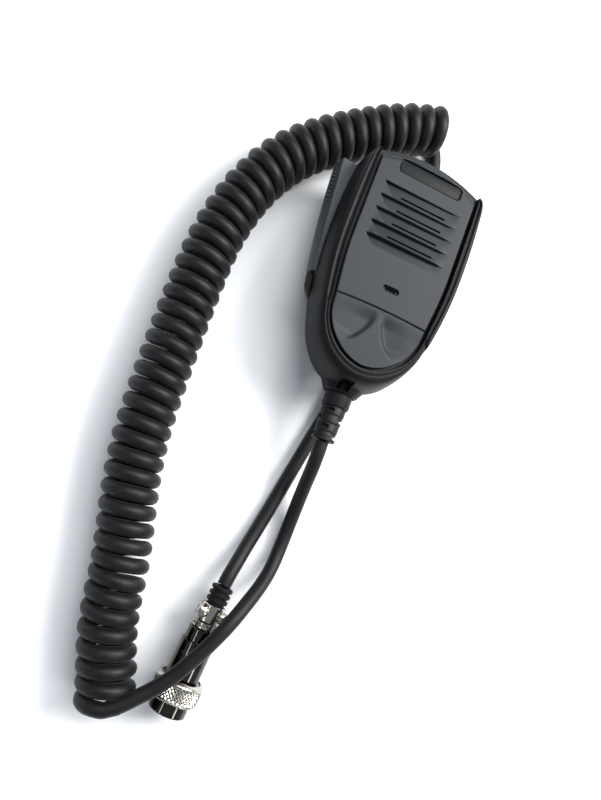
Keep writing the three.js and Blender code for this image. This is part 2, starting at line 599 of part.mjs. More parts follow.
function makeSwitchBody() {
  const body = block(
    switchX, switchX + SWITCH_LENGTH, SWITCH_Y - SWITCH_HALF, SWITCH_Y + SWITCH_HALF,
    boardTopZ, boardTopZ + SWITCH_HEIGHT,
  );
  const room = PLUNGER_HALF + GAP;
  const bore = block(
    switchX - 1, plungerEnd + 2, SWITCH_Y - room, SWITCH_Y + room, plungerZ - room, plungerZ + room,
  );
  return body.subtract(bore);
}

place(handset, 'ptt_switch_body', makeSwitchBody(), darkPlastic);
place(handset, 'ptt_switch_plunger', block(
  plungerX, plungerEnd, SWITCH_Y - PLUNGER_HALF, SWITCH_Y + PLUNGER_HALF,
  plungerZ - PLUNGER_HALF, plungerZ + PLUNGER_HALF,
), phenolic);

// ---------------------------------------------------------------- inner works
function makeBoard() {
  const plate = loft([section(BOARD_Z, BOARD_DRAFT), section(BOARD_Z + BOARD_THICK, BOARD_DRAFT)]);
  const room = block(-BOARD_HALF, BOARD_HALF, BOARD_LOW_Y, HALF_LENGTH, 0, FACE_Z);
  const holes = SCREW_PLACES.map(([x, y]) => postZ(SCREW_R + GAP, x, y, BOARD_Z - 1, BOARD_Z + 3));
  return cut(plate.intersect(room), holes);
}

place(handset, 'circuit_board', makeBoard(), boardGreen);

// The loudspeaker and the capsule stand under the grille panel, measured down from its back.
const clothZ = panelBackZ - 0.6;             // top of the cloth and the gasket
const flangeZ = clothZ - GASKET_THICK - GAP - SPEAKER_LIP;
const basketZ = flangeZ - 6;                 // lower edge of the frame's basket
const magnetTopZ = basketZ + 0.8;
const capsuleTopZ = panelBackZ - 1;
const bootTopZ = capsuleTopZ + 0.4;

place(handset, 'speaker_frame', turnedZ([
  [MAGNET_R + GAP, basketZ], [MAGNET_R + 2, basketZ], [SPEAKER_R - 2, flangeZ], [SPEAKER_R, flangeZ],
  [SPEAKER_R, flangeZ + SPEAKER_LIP], [SPEAKER_R - 3, flangeZ + SPEAKER_LIP],
  [MAGNET_R + GAP, basketZ + SPEAKER_LIP], [MAGNET_R + GAP, basketZ],
], 0, SPEAKER_Y), steel);
place(handset, 'speaker_magnet', postZ(
  MAGNET_R, 0, SPEAKER_Y, magnetTopZ - MAGNET_HEIGHT, magnetTopZ, 20,
), magnetGrey);

const coneLow = magnetTopZ + 0.6;
place(handset, 'speaker_cone', turnedZ([
  [0, coneLow + 0.8], [DOME_R, coneLow + 0.8], [DOME_R + 1.5, coneLow], [CONE_R, flangeZ + 0.2],
  [CONE_R, flangeZ + 0.7], [DOME_R + 1.5, coneLow + 0.6], [DOME_R, coneLow + 1.5], [0, coneLow + 1.8],
], 0, SPEAKER_Y), paper);
place(handset, 'speaker_gasket', turnedZ([
  [SPEAKER_R - 2.6, clothZ - GASKET_THICK], [SPEAKER_R - 0.4, clothZ - GASKET_THICK],
  [SPEAKER_R - 0.4, clothZ], [SPEAKER_R - 2.6, clothZ], [SPEAKER_R - 2.6, clothZ - GASKET_THICK],
], 0, SPEAKER_Y), rubber);
place(handset, 'dust_cloth', postZ(SPEAKER_R - 3, 0, SPEAKER_Y, clothZ - CLOTH_THICK, clothZ), paper);

const capsule = postZ(CAPSULE_R, 0, MIC_Y, capsuleTopZ - CAPSULE_HEIGHT, capsuleTopZ);
place(handset, 'mic_capsule', capsule, steel);

const bootInner = CAPSULE_R + GAP;
const bootLowZ = capsuleTopZ - CAPSULE_HEIGHT - 0.6;
place(handset, 'mic_rubber_boot', turnedZ([
  [bootInner, bootLowZ], [bootInner + CAPSULE_BOOT_WALL, bootLowZ], [bootInner + CAPSULE_BOOT_WALL, bootTopZ],
  [MIC_HOLE_R + 1, bootTopZ], [MIC_HOLE_R + 1, capsuleTopZ + 0.2], [bootInner, capsuleTopZ + 0.2],
  [bootInner, bootLowZ],
], 0, MIC_Y), rubber);

SCREW_PLACES.forEach(([x, y], i) => {
  const under = BACK_Z + GAP;
  place(handset, `shell_screw_${i + 1}`, turnedZ([
    [0, under], [SCREW_HEAD_R, under], [SCREW_HEAD_R, under + SCREW_HEAD_HEIGHT],
    [SCREW_R, under + SCREW_HEAD_HEIGHT], [SCREW_R, SCREW_TOP_Z], [0, SCREW_TOP_Z],
  ], x, y, 16), steel);
});

// ---------------------------------------------------------------- hang-up stud
function makeStud() {
  const body = turnedZ([
    [0, 0], [STUD_HEAD_R - 0.5, 0], [STUD_HEAD_R, 0.5], [STUD_HEAD_R, STUD_HEAD_THICK - 0.4],
    [STUD_HEAD_R - 0.4, STUD_HEAD_THICK], [STUD_NECK_R, STUD_HEAD_THICK], [STUD_NECK_R, BACK_Z - GAP],
    [0, BACK_Z - GAP],
  ], 0, STUD_Y, 24);
  const bore = postZ(STUD_SCREW_R + GAP, 0, STUD_Y, -1, BACK_Z + 1);
  return cut(body, [bore, postZ(STUD_SINK_R, 0, STUD_Y, -1, STUD_SINK_DEPTH)]);
}

place(handset, 'hang_stud', makeStud(), nickel);
place(handset, 'stud_screw', turnedZ([
  [0, GAP], [STUD_SCREW_HEAD_R, GAP], [STUD_SCREW_HEAD_R, STUD_SINK_DEPTH - GAP],
  [STUD_SCREW_R, STUD_SINK_DEPTH - GAP], [STUD_SCREW_R, STUD_SCREW_TOP_Z], [0, STUD_SCREW_TOP_Z],
], 0, STUD_Y, 16), steel);

// ---------------------------------------------------------------- cord exit
// Pieces on the cord's line at the chin are turned about Y and hang from the handset group.
const exitLine = new THREE.Group();
exitLine.position.set(0, -HALF_LENGTH, EXIT_Z);
exitLine.rotation.z = Math.PI;
handset.add(exitLine);

function makeBoot() {
  const slope = (BOOT_START_R - BOOT_END_R) / BOOT_LENGTH;
  const pitch = (BOOT_LENGTH - BOOT_PLAIN) / BOOT_RIBS;
  const profile = [
    [0, -BOOT_TAIL], [BOOT_COLLAR_R, -BOOT_TAIL], [BOOT_COLLAR_R, -BOOT_TAIL + BOOT_COLLAR_THICK],
    [BOOT_START_R, -BOOT_TAIL + BOOT_COLLAR_THICK], [BOOT_START_R, BOOT_PLAIN],
  ];
  for (let i = 0; i < BOOT_RIBS; i += 1) {
    const y = BOOT_PLAIN + i * pitch;
    const r = BOOT_START_R - slope * y;
    profile.push([r - 1, y + 0.2], [r - 1, y + pitch * 0.35]);
    profile.push([r - 0.2, y + pitch * 0.45], [r - 0.4, y + pitch]);
  }
  profile.push([0, BOOT_LENGTH]);
  return turnedY(profile, 16);
}

place(exitLine, 'strain_relief_boot', makeBoot(), rubber);
place(exitLine, 'inner_cord_end', turnedY([
  [0, -INNER_CORD_START], [CORD_R, -INNER_CORD_START], [CORD_R, -BOOT_TAIL - GAP], [0, -BOOT_TAIL - GAP],
], 16), rubber);

function makeClampBar() {
  const low = CLAMP_BAR_Y - CLAMP_BAR_WIDTH / 2;
  const under = EXIT_Z + CORD_R + GAP;
  const bar = block(
    -CLAMP_BAR_HALF, CLAMP_BAR_HALF, low, low + CLAMP_BAR_WIDTH, under, under + CLAMP_BAR_THICK,
  );
  const holes = [-CLAMP_SCREW_X, CLAMP_SCREW_X].map(
    (x) => postZ(SCREW_R + 0.2, x, CLAMP_BAR_Y, EXIT_Z, EXIT_Z + 8),
  );
  return cut(bar, holes);
}

place(handset, 'cord_clamp_bar', makeClampBar(), steel);
for (const [name, side] of [['cord_clamp_screw_1', -1], ['cord_clamp_screw_2', 1]]) {
  const shank = SCREW_R - 0.1;
  const tip = EXIT_Z - 3.4;
  const head = EXIT_Z + CORD_R + CLAMP_BAR_THICK + 2 * GAP;
  place(handset, name, turnedZ([
    [0, tip], [shank, tip], [shank, head], [shank + 0.8, head], [shank + 0.8, head + 1.3], [0, head + 1.3],
  ], side * CLAMP_SCREW_X, CLAMP_BAR_Y, 16), steel);
}

const connectorEnd = CONNECTOR_Y + CONNECTOR_LENGTH;
const loomLow = -HALF_LENGTH + INNER_CORD_START + 0.4;
place(handset, 'board_connector', block(-5, 5, CONNECTOR_Y, connectorEnd, boardTopZ, BOARD_Z + 6.5), paper);
place(handset, 'wire_loom', block(
  -2.5, 2.5, loomLow, CONNECTOR_Y - GAP, BOARD_Z + 3.2, BOARD_Z + 4.8,
), rubber);

// ---------------------------------------------------------------- cord
function tubeAlong(points, radius, sides, steps) {
  const route = new THREE.CatmullRomCurve3(points.map((p) => new THREE.Vector3(...p)));
  const section = new THREE.Shape();
  for (let i = 0; i < sides; i += 1) {
    const a = (2 * Math.PI * i) / sides;
    const [x, y] = [radius * Math.cos(a), radius * Math.sin(a)];
    if (i === 0) section.moveTo(x, y);
    else section.lineTo(x, y);
  }
  return solid(new THREE.ExtrudeGeometry(section, { steps, bevelEnabled: false, extrudePath: route }));
}

place(part, 'handset_cord', tubeAlong(HANDSET_RUN, CORD_R, 8, 20), rubber);
place(part, 'curly_cord', tubeAlong(COIL_AXIS.map(([x, y]) => [x, y, COIL_R]), COIL_R, 16, 30), rubber);
place(part, 'plug_cord', tubeAlong(PLUG_RUN, CORD_R, 8, 26), rubber);

// ---------------------------------------------------------------- plug
function makeGrommet() {
  const profile = [[0, -GROMMET_LENGTH], [GROMMET_WAIST_R, -GROMMET_LENGTH]];
  for (let i = 0; i < 3; i += 1) {
    const y = -GROMMET_LENGTH + GAP + i * GROMMET_PITCH;
    profile.push([GROMMET_R, y + 0.3], [GROMMET_R, y + 1.3]);
    profile.push([GROMMET_WAIST_R, y + 1.5], [GROMMET_WAIST_R, y + 2.1]);
  }
  profile.push([GROMMET_WAIST_R, -GAP], [STEM_R, -GAP], [STEM_R, CLAMP_LENGTH - GAP], [0, CLAMP_LENGTH - GAP]);
  return turnedY(profile, 16);
}

// Half of the cord clamp, on one side of the plug's axis, with an ear on each side.
function makeClampHalf(side) {
  const ring = turnedY([
    [STEM_R + GAP, 0], [CLAMP_R, 0], [CLAMP_R, CLAMP_LENGTH], [STEM_R + GAP, CLAMP_LENGTH], [STEM_R + GAP, 0],
  ], 24);
  const saddle = [CLAMP_SPLIT, CLAMP_SPLIT + SADDLE_THICK];
  const levels = side > 0 ? saddle : [-CLAMP_SPLIT - EAR_THICK, -CLAMP_SPLIT];
  const ears = [[-EAR_END, -STEM_R - GAP], [STEM_R + GAP, EAR_END]].map(
    ([x0, x1]) => block(x0, x1, EAR_Y - EAR_HALF_LENGTH, EAR_Y + EAR_HALF_LENGTH, ...levels),
  );
  const holes = [-EAR_X, EAR_X].map((x) => postZ(CLAMP_SCREW_R + 0.2, x, EAR_Y, -6, 6, 12));
  const half = side > 0 ? block(-12, 12, -1, 12, CLAMP_SPLIT, 12) : block(-12, 12, -1, 12, -12, -CLAMP_SPLIT);
  return cut(joined([ring, ...ears]).intersect(half), holes);
}

place(plug, 'plug_grommet', makeGrommet(), rubber);
place(plug, 'plug_clamp_base', makeClampHalf(-1), nickel);
place(plug, 'plug_clamp_saddle', makeClampHalf(1), nickel);
for (const [name, side] of [['plug_clamp_screw_1', -1], ['plug_clamp_screw_2', 1]]) {
  const head = CLAMP_SPLIT + SADDLE_THICK + GAP;
  const top = head + CLAMP_HEAD_HEIGHT;
  place(plug, name, turnedZ([
    [0, -3.6], [CLAMP_SCREW_R, -3.6], [CLAMP_SCREW_R, head],
    [CLAMP_HEAD_R, head], [CLAMP_HEAD_R, top], [0, top],
  ], side * EAR_X, EAR_Y, 16), nickel);
}

function makeCollar() {
  const [low, high] = [CLAMP_LENGTH + GAP, TUBE_START - GAP];
  const ring = turnedY([
    [COLLAR_BORE_R, low], [COLLAR_R, low], [COLLAR_R, high], [COLLAR_BORE_R, high], [COLLAR_BORE_R, low],
  ]);
  const notches = [0, 1, 2, 3].map((i) => {
    const notch = new THREE.BoxGeometry(1.2, 1.2, 1.4).translate(0, low + 0.6, COLLAR_R - 0.2);
    return solid(notch.rotateY((i + 0.5) * (Math.PI / 2)));
  });
  return cut(ring, notches);
}

place(plug, 'plug_collar', makeCollar(), nickel);
place(plug, 'plug_rear_tube', turnedY([
  [TUBE_BORE_R, TUBE_START], [TUBE_REAR_R, TUBE_START], [TUBE_REAR_R, TUBE_STEP - 0.4],
  [TUBE_FRONT_R, TUBE_STEP], [TUBE_FRONT_R, RING_START - GAP], [TUBE_BORE_R, RING_START - GAP],
  [TUBE_BORE_R, TUBE_START],
]), nickel);

const ringBore = SKIRT_R + 0.4;
const ringEnd = RING_START + RING_LENGTH;
place(plug, 'coupling_ring', turnedY([
  [ringBore, RING_START], [ringBore + 0.5, RING_START], [RING_R - 0.2, RING_START + 1.5],
  [RING_R - 0.03, RING_START + 1.8], [RING_R - 0.03, ringEnd - 0.3], [RING_R - 0.4, ringEnd],
  [ringBore, ringEnd], [ringBore, RING_START],
], 32), nickel);

const frontPieceStart = RING_START + GAP;
place(plug, 'plug_skirt', turnedY([
  [SKIRT_BORE_R, frontPieceStart], [SKIRT_R, frontPieceStart], [SKIRT_R, SKIRT_END],
  [SKIRT_BORE_R, SKIRT_END], [SKIRT_BORE_R, frontPieceStart],
]), nickel);

const contactPlaces = [];
for (let i = 0; i < CONTACT_COUNT; i += 1) {
  const a = (2 * Math.PI * i) / CONTACT_COUNT;
  contactPlaces.push([CONTACT_CIRCLE_R * Math.cos(a), CONTACT_CIRCLE_R * Math.sin(a)]);
}

function contactBody(radius, y0, y1, [x, z]) {
  const geometry = new THREE.CylinderGeometry(radius, radius, y1 - y0, 12);
  return solid(geometry.translate(x, (y0 + y1) / 2, z));
}

function makeInsert() {
  const end = SKIRT_END - GAP;
  const body = turnedY([[0, frontPieceStart], [INSERT_R, frontPieceStart], [INSERT_R, end], [0, end]]);
  return cut(body, contactPlaces.map((c) => contactBody(CONTACT_R + 0.2, RING_START - 1, SKIRT_END, c)));
}

place(plug, 'plug_insert', makeInsert(), phenolic);
contactPlaces.forEach((c, i) => {
  const tube = contactBody(CONTACT_R, RING_START, SKIRT_END - GAP, c);
  const bore = contactBody(CONTACT_BORE_R, SKIRT_END - 6, SKIRT_END, c);
  place(plug, `contact_socket_${i + 1}`, tube.subtract(bore), brass);
});

export default part;
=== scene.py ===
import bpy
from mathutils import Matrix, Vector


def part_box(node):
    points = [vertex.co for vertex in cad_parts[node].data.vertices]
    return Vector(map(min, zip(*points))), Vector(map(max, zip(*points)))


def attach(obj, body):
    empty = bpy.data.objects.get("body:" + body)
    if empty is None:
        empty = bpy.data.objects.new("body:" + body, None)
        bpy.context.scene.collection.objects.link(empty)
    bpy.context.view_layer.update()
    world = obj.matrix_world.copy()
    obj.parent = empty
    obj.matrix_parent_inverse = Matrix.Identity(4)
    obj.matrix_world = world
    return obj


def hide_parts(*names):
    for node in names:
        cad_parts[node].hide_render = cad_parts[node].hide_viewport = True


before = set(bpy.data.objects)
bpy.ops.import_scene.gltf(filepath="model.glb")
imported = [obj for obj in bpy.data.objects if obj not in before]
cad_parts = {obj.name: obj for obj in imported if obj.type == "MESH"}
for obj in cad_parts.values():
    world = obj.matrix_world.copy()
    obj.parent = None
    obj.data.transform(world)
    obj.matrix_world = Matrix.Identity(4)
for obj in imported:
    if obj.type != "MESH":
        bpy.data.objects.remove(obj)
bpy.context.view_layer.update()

import math

import bpy
import numpy as np
from mathutils import Matrix, Quaternion, Vector
from mathutils.geometry import interpolate_bezier

# Pieces are modelled in millimetres, in the handset's own frame or along the plug's own axis, and
# brought to metres and to their place when they are seated.
MM = 0.001

# ------------------------------------------------------------------ driving dimensions, millimetres
shell_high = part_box("front_shell")[1] / MM
HALF_WIDTH = 28.5
HALF_LENGTH = 47.5
FACE_X = shell_high.x - HALF_WIDTH
FACE_Y = shell_high.y - HALF_LENGTH
PARTING_Z = 20.0
RAIL_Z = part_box("front_shell")[1].z / MM
BACK_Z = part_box("rear_shell")[0].z / MM
PANEL_Z = 34.3                    # level of the face panels' plain surface
PANEL_BACK_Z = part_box("grille_panel")[0].z / MM
GROOVE = 1.0                      # open groove between the panels and the rails
WALL = 2.2
GAP = 0.3
SHOULDER_Y = 39.0
SHOULDER_HALF = 26.6
CHIN_Y = -30.0
CHIN_HALF = 22.4
PANEL_HALF = 20.9
PANEL_TOP_Y = 46.2
PANEL_CORNER_Y = 41.4
PANEL_NARROW_Y = 8.0
PANEL_TIP_Y = -38.4
SPLIT_Y = -16.6
SPLIT_HALF = 18.7
SPLIT_RISE = 1.5
EXIT_Z = 19.0                     # height of the cord's exit
CORD_R = 2.8
COIL_R = 10.7
COIL_TURNS = 47

PLUG_AT = (-11.55, -139.0, 9.25)  # rear face of the cord clamp, on the plug's axis
PLUG_AXIS = (-0.0720, -0.9974, 0.0)

OUTLINE_POINTS = 180


# ------------------------------------------------------------------ camera, floor and lights
def make_camera():
    data = bpy.data.cameras.new("camera")
    data.sensor_width = 36.0
    data.lens = 29.07
    data.clip_start, data.clip_end = 0.01, 10.0
    camera = bpy.data.objects.new("camera", data)
    bpy.context.scene.collection.objects.link(camera)
    place = Vector((-0.0631, -0.0960, 0.2570))
    aim = Vector((-0.0067, -0.0529, 0.0))
    roll = Quaternion((0, 0, 1), math.radians(74.4))
    camera.rotation_mode = "QUATERNION"
    camera.rotation_quaternion = (aim - place).to_track_quat("-Z", "Y") @ roll
    camera.location = place
    bpy.context.scene.camera = camera


def softbox(name, place, aim, size, power, colour):
    data = bpy.data.lights.new(name, "AREA")
    data.shape = "RECTANGLE"
    data.size, data.size_y = size
    data.energy = power
    data.color = colour
    lamp = bpy.data.objects.new(name, data)
    bpy.context.scene.collection.objects.link(lamp)
    lamp.location = place
    lamp.rotation_mode = "QUATERNION"
    lamp.rotation_quaternion = (Vector(aim) - Vector(place)).to_track_quat("-Z", "Y")


def make_studio():
    clear()
    bpy.ops.mesh.primitive_plane_add(size=4.0, location=(0, 0, 0))
    floor = bpy.context.object
    floor.name = "floor"
    floor.data.materials.append(painted_floor())
    middle = (-0.02, -0.05, 0.0)
    softbox("key", (0.62, 0.42, 0.72), middle, (0.55, 0.55), 16.0, (1.0, 0.985, 0.96))
    softbox("top", (0.05, 0.45, 0.95), middle, (0.9, 0.35), 8.0, (0.97, 0.985, 1.0))
    # two narrow boxes only bright enough to draw white lines along the turned metal
    softbox("edge", (0.61, -0.39, 0.69), middle, (0.4, 0.12), 1.6, (1.0, 1.0, 1.0))
    softbox("glint", (-0.64, -0.38, 0.61), middle, (0.4, 0.05), 0.6, (1.0, 1.0, 1.0))
    world = bpy.data.worlds.new("studio")
    bpy.context.scene.world = world
    world.use_nodes = True
    tree = world.node_tree
    tree.nodes.clear()
    way = node(tree, "TexCoord")
    height = node(tree, "SeparateXYZ", Vector=way.outputs["Generated"])
    band = node(tree, "ValToRGB", Fac=height.outputs["Z"])
    band.color_ramp.elements[0].position = 0.12
    band.color_ramp.elements[0].color = srgb("C4CCD8")
    band.color_ramp.elements[1].position = 0.5
    band.color_ramp.elements[1].color = srgb("999FA8")
    back = node(tree, "Background", Color=band.outputs["Color"], Strength=0.8)
    node(tree, "OutputWorld", Surface=back.outputs["Background"])
    scene = bpy.context.scene
    scene.view_settings.view_transform = "Standard"
    scene.view_settings.look = "None"


# ------------------------------------------------------------------ material helpers
def srgb(text):
    """An sRGB hex colour as linear red, green, blue and alpha."""
    parts = [int(text[i:i + 2], 16) / 255 for i in (0, 2, 4)]
    return tuple(c / 12.92 if c <= 0.04045 else ((c + 0.055) / 1.055) ** 2.4 for c in parts) + (1.0,)


def node(tree, kind, settings=(), **inputs):
    """Adds a shader node; an input given as a socket is linked, and any other is its value."""
    made = tree.nodes.new("ShaderNode" + kind)
    for name, value in dict(settings).items():
        setattr(made, name, value)
    for name, value in inputs.items():
        socket = made.inputs[int(name[2:])] if name.startswith("in") and name[2:].isdigit() else None
        socket = socket or made.inputs[name.replace("_", " ")]
        if isinstance(value, bpy.types.NodeSocket):
            tree.links.new(value, socket)
        else:
            socket.default_value = value
    return made


def new_material(name):
    material = bpy.data.materials.new(name)
    material.use_nodes = True
    tree = material.node_tree
    tree.nodes.clear()
    shader = node(tree, "BsdfPrincipled")
    node(tree, "OutputMaterial", Surface=shader.outputs["BSDF"])
    place = node(tree, "TexCoord").outputs["Object"]
    return material, tree, shader, place


def set_shader(shader, **values):
    for name, value in values.items():
        shader.inputs[name.replace("_", " ")].default_value = value


def mixed(tree, factor, low, high):
    """Colour between two hex colours by a factor socket."""
    made = node(tree, "Mix", {"data_type": "RGBA"}, in0=factor)
    made.inputs[6].default_value = srgb(low)
    made.inputs[7].default_value = srgb(high)
    return made.outputs[2]


def ranged(tree, value, low, high, from_low=0.0, from_high=1.0):
    made = node(tree, "MapRange", Value=value, From_Min=from_low, From_Max=from_high,
                To_Min=low, To_Max=high)
    return made.outputs["Result"]


def painted_floor():
    material, _, shader, _ = new_material("matt_white_board")
    set_shader(shader, Base_Color=srgb("F4F5F6"), Roughness=0.85)
    shader.inputs["Specular IOR Level"].default_value = 0.2
    return material


# Injection-moulded ABS from a spark-eroded mould: a fine even grain of about 0.15 mm that breaks up
# the gloss, drawn at 0.35 mm so that it shows, with slow changes of gloss where fingers have been.
def moulded_abs(name, low, high, roughness, gloss=0.3):
    material, tree, shader, place = new_material(name)
    grain = node(tree, "TexNoise", Vector=place, Scale=1 / 0.00035, Detail=3.0, Roughness=0.6)
    drift = node(tree, "TexNoise", Vector=place, Scale=1 / 0.018, Detail=2.0)
    tint = node(tree, "Math", {"operation": "MULTIPLY"}, in0=grain.outputs["Fac"], in1=drift.outputs["Fac"])
    shade = ranged(tree, tint.outputs[0], 0, 1, 0.12, 0.4)
    gloss_drift = ranged(tree, drift.outputs["Fac"], roughness - 0.05, roughness + 0.07)
    tree.links.new(mixed(tree, shade, low, high), shader.inputs["Base Color"])
    tree.links.new(gloss_drift, shader.inputs["Roughness"])
    bump = node(tree, "Bump", Strength=0.22, Distance=0.00006, Height=grain.outputs["Fac"])
    tree.links.new(bump.outputs["Normal"], shader.inputs["Normal"])
    set_shader(shader, IOR=1.53)
    shader.inputs["Specular IOR Level"].default_value = gloss
    return material


# Extruded polyurethane cord jacket: a soft sheen, faint drawing marks along it and a bloom of dust.
def extruded_jacket():
    material, tree, shader, place = new_material("extruded_polyurethane_jacket")
    fine = node(tree, "TexNoise", Vector=place, Scale=1 / 0.0005, Detail=4.0, Roughness=0.65)
    broad = node(tree, "TexNoise", Vector=place, Scale=1 / 0.006, Detail=3.0)
    dust = ranged(tree, broad.outputs["Fac"], 0, 1, 0.35, 0.75)
    tree.links.new(mixed(tree, dust, "060607", "0D0D10"), shader.inputs["Base Color"])
    tree.links.new(ranged(tree, broad.outputs["Fac"], 0.42, 0.6), shader.inputs["Roughness"])
    bump = node(tree, "Bump", Strength=0.3, Distance=0.00008, Height=fine.outputs["Fac"])
    tree.links.new(bump.outputs["Normal"], shader.inputs["Normal"])
    set_shader(shader, IOR=1.5, Sheen_Weight=0.05, Sheen_Roughness=0.5)
    shader.inputs["Specular IOR Level"].default_value = 0.28
    return material


# Moulded PVC: darker and duller than the jacket, with a slightly waxy skin.
def moulded_pvc(name, low, high, roughness):
    material, tree, shader, place = new_material(name)
    skin = node(tree, "TexNoise", Vector=place, Scale=1 / 0.0006, Detail=3.0)
    tree.links.new(mixed(tree, skin.outputs["Fac"], low, high), shader.inputs["Base Color"])
    wax = ranged(tree, skin.outputs["Fac"], roughness - 0.06, roughness + 0.08)
    tree.links.new(wax, shader.inputs["Roughness"])
    bump = node(tree, "Bump", Strength=0.25, Distance=0.00007, Height=skin.outputs["Fac"])
    tree.links.new(bump.outputs["Normal"], shader.inputs["Normal"])
    set_shader(shader, IOR=1.52)
    shader.inputs["Specular IOR Level"].default_value = 0.25
    return material


# Nickel plate on stampings and turned brass: a warm white metal, bright but a little blurred, with a
# faint haze from handling.
def nickel_plate(name, roughness, haze):
    material, tree, shader, place = new_material(name)
    smear = node(tree, "TexNoise", Vector=place, Scale=1 / 0.0025, Detail=4.0)
    tree.links.new(mixed(tree, smear.outputs["Fac"], "B4AFA4", "CBC7BD"), shader.inputs["Base Color"])
    blur = ranged(tree, smear.outputs["Fac"], roughness, roughness + haze)
    tree.links.new(blur, shader.inputs["Roughness"])
    set_shader(shader, Metallic=1.0)
    return material


def turned_metal(name, low, high, roughness):
    """Turned or pressed metal with faint marks about 0.8 mm across."""
    material, tree, shader, place = new_material(name)
    marks = node(tree, "TexNoise", Vector=place, Scale=1 / 0.0008, Detail=5.0)
    tree.links.new(mixed(tree, marks.outputs["Fac"], low, high), shader.inputs["Base Color"])
    blur = ranged(tree, marks.outputs["Fac"], roughness, roughness * 1.5)
    tree.links.new(blur, shader.inputs["Roughness"])
    set_shader(shader, Metallic=1.0)
    return material


def plain_stock(name, low, high, roughness, grain_mm, ior=1.5):
    """A non-metal with speckle at a grain size in millimetres."""
    material, tree, shader, place = new_material(name)
    speckle = node(tree, "TexNoise", Vector=place, Scale=1000 / grain_mm, Detail=3.0)
    tree.links.new(mixed(tree, speckle.outputs["Fac"], low, high), shader.inputs["Base Color"])
    bump = node(tree, "Bump", Strength=0.2, Distance=0.00005, Height=speckle.outputs["Fac"])
    tree.links.new(bump.outputs["Normal"], shader.inputs["Normal"])
    set_shader(shader, Roughness=roughness, IOR=ior)
    return material


def make_finishes():
    return {
        "case": moulded_abs("moulded_abs_case", "181C21", "23282E", 0.56),
        "flank": moulded_abs("moulded_abs_flank", "060608", "0E0F11", 0.46, 0.18),
        "lever": moulded_abs("moulded_abs_lever", "3E4246", "4A4E52", 0.5),
        "plate": moulded_abs("moulded_abs_plate", "111213", "191B1C", 0.5, 0.15),
        "dark": plain_stock("black_nylon", "121214", "1C1C20", 0.5, 0.6),
        "cord": extruded_jacket(),
        "boot": moulded_pvc("moulded_pvc_boot", "09090B", "131316", 0.5),
        "grommet": moulded_pvc("moulded_rubber_grommet", "050506", "0B0B0D", 0.55),
        "satin": nickel_plate("satin_nickel_plate", 0.16, 0.12),
        # nickel plate with its colour darkened to about a quarter, so that it reflects its white
        # surroundings as dark grey: a painted dark reflection, with only the lamps drawing white lines on it
        "dark_reflection_nickel": turned_metal("black_nickel_plate", "45413D", "55514C", 0.07),
        "steel": turned_metal("zinc_plated_steel", "8E9096", "A7A9AE", 0.28),
        "brass": turned_metal("gilt_brass", "C6A257", "D9BC78", 0.22),
        "phenolic": plain_stock("phenolic_moulding", "241A15", "33261F", 0.5, 0.4, 1.6),
        "laminate": plain_stock("glass_epoxy_laminate", "244B31", "2F6040", 0.35, 0.5, 1.55),
        "paper": plain_stock("pressed_paper_cone", "24221F", "34312D", 0.9, 0.3),
        "nylon": plain_stock("natural_nylon", "D8D2C0", "E6E0D0", 0.45, 0.8),
        "ferrite": plain_stock("sintered_ferrite", "2B2C2F", "3A3B3F", 0.6, 0.3, 2.4),
    }


# ------------------------------------------------------------------ modelling helpers
def clear():
    if bpy.context.object and bpy.context.object.mode != "OBJECT":
        bpy.ops.object.mode_set(mode="OBJECT")
    bpy.ops.object.select_all(action="DESELECT")


def take(obj):
    clear()
    obj.select_set(True)
    bpy.context.view_layer.objects.active = obj
    return obj


def added(name):
    obj = bpy.context.object
    obj.name = obj.data.name = name
    return obj


def apply_all(obj):
    take(obj)
    for modifier in list(obj.modifiers):
        bpy.ops.object.modifier_apply(modifier=modifier.name)
    return obj


def turned(name, profile, sides=64):
    """A turned solid along +Z: a disc drawn up ring by ring through [radius, height] pairs."""
    clear()
    (r, z), rest = profile[0], profile[1:]
    bpy.ops.mesh.primitive_circle_add(vertices=sides, radius=r, fill_type="NGON", location=(0, 0, z))
    obj = added(name)
    bpy.ops.object.transform_apply(location=True)
    bpy.ops.object.mode_set(mode="EDIT")
    bpy.ops.mesh.select_all(action="SELECT")
    for next_r, next_z in rest:
        bpy.ops.mesh.extrude_region_move(TRANSFORM_OT_translate={"value": (0, 0, next_z - z)})
        bpy.ops.transform.resize(value=(next_r / r, next_r / r, 1), center_override=(0, 0, next_z))
        r, z = next_r, next_z
    bpy.ops.object.mode_set(mode="OBJECT")
    return outwards(obj)


def outwards(obj):
    """Merges doubles and turns the faces outwards."""
    take(obj)
    bpy.ops.object.mode_set(mode="EDIT")
    bpy.ops.mesh.select_all(action="SELECT")
    bpy.ops.mesh.remove_doubles(threshold=0.001)
    bpy.ops.mesh.normals_make_consistent(inside=False)
    bpy.ops.object.mode_set(mode="OBJECT")
    return obj


def cuboid(name, x, y, z, rounding=0.0, segments=3):
    """A block between pairs of limits, with its edges rounded."""
    clear()
    centre = [(a + b) / 2 for a, b in (x, y, z)]
    bpy.ops.mesh.primitive_cube_add(size=1, location=centre, scale=[abs(b - a) for a, b in (x, y, z)])
    obj = added(name)
    bpy.ops.object.transform_apply(location=True, scale=True)
    if rounding:
        soften(obj, rounding, segments)
    return obj


def soften(obj, width, segments=2, angle=35):
    """Rounds the edges that turn by more than an angle."""
    bevel = obj.modifiers.new("rounding", "BEVEL")
    bevel.width, bevel.segments = width, segments
    bevel.limit_method, bevel.angle_limit = "ANGLE", math.radians(angle)
    return apply_all(obj)


def carve(obj, cutters, how="DIFFERENCE"):
    for cutter in cutters:
        boolean = obj.modifiers.new("carve", "BOOLEAN")
        boolean.operation, boolean.solver, boolean.object = how, "EXACT", cutter
        take(obj)
        bpy.ops.object.modifier_apply(modifier=boolean.name)
        bpy.data.objects.remove(cutter)
    return obj


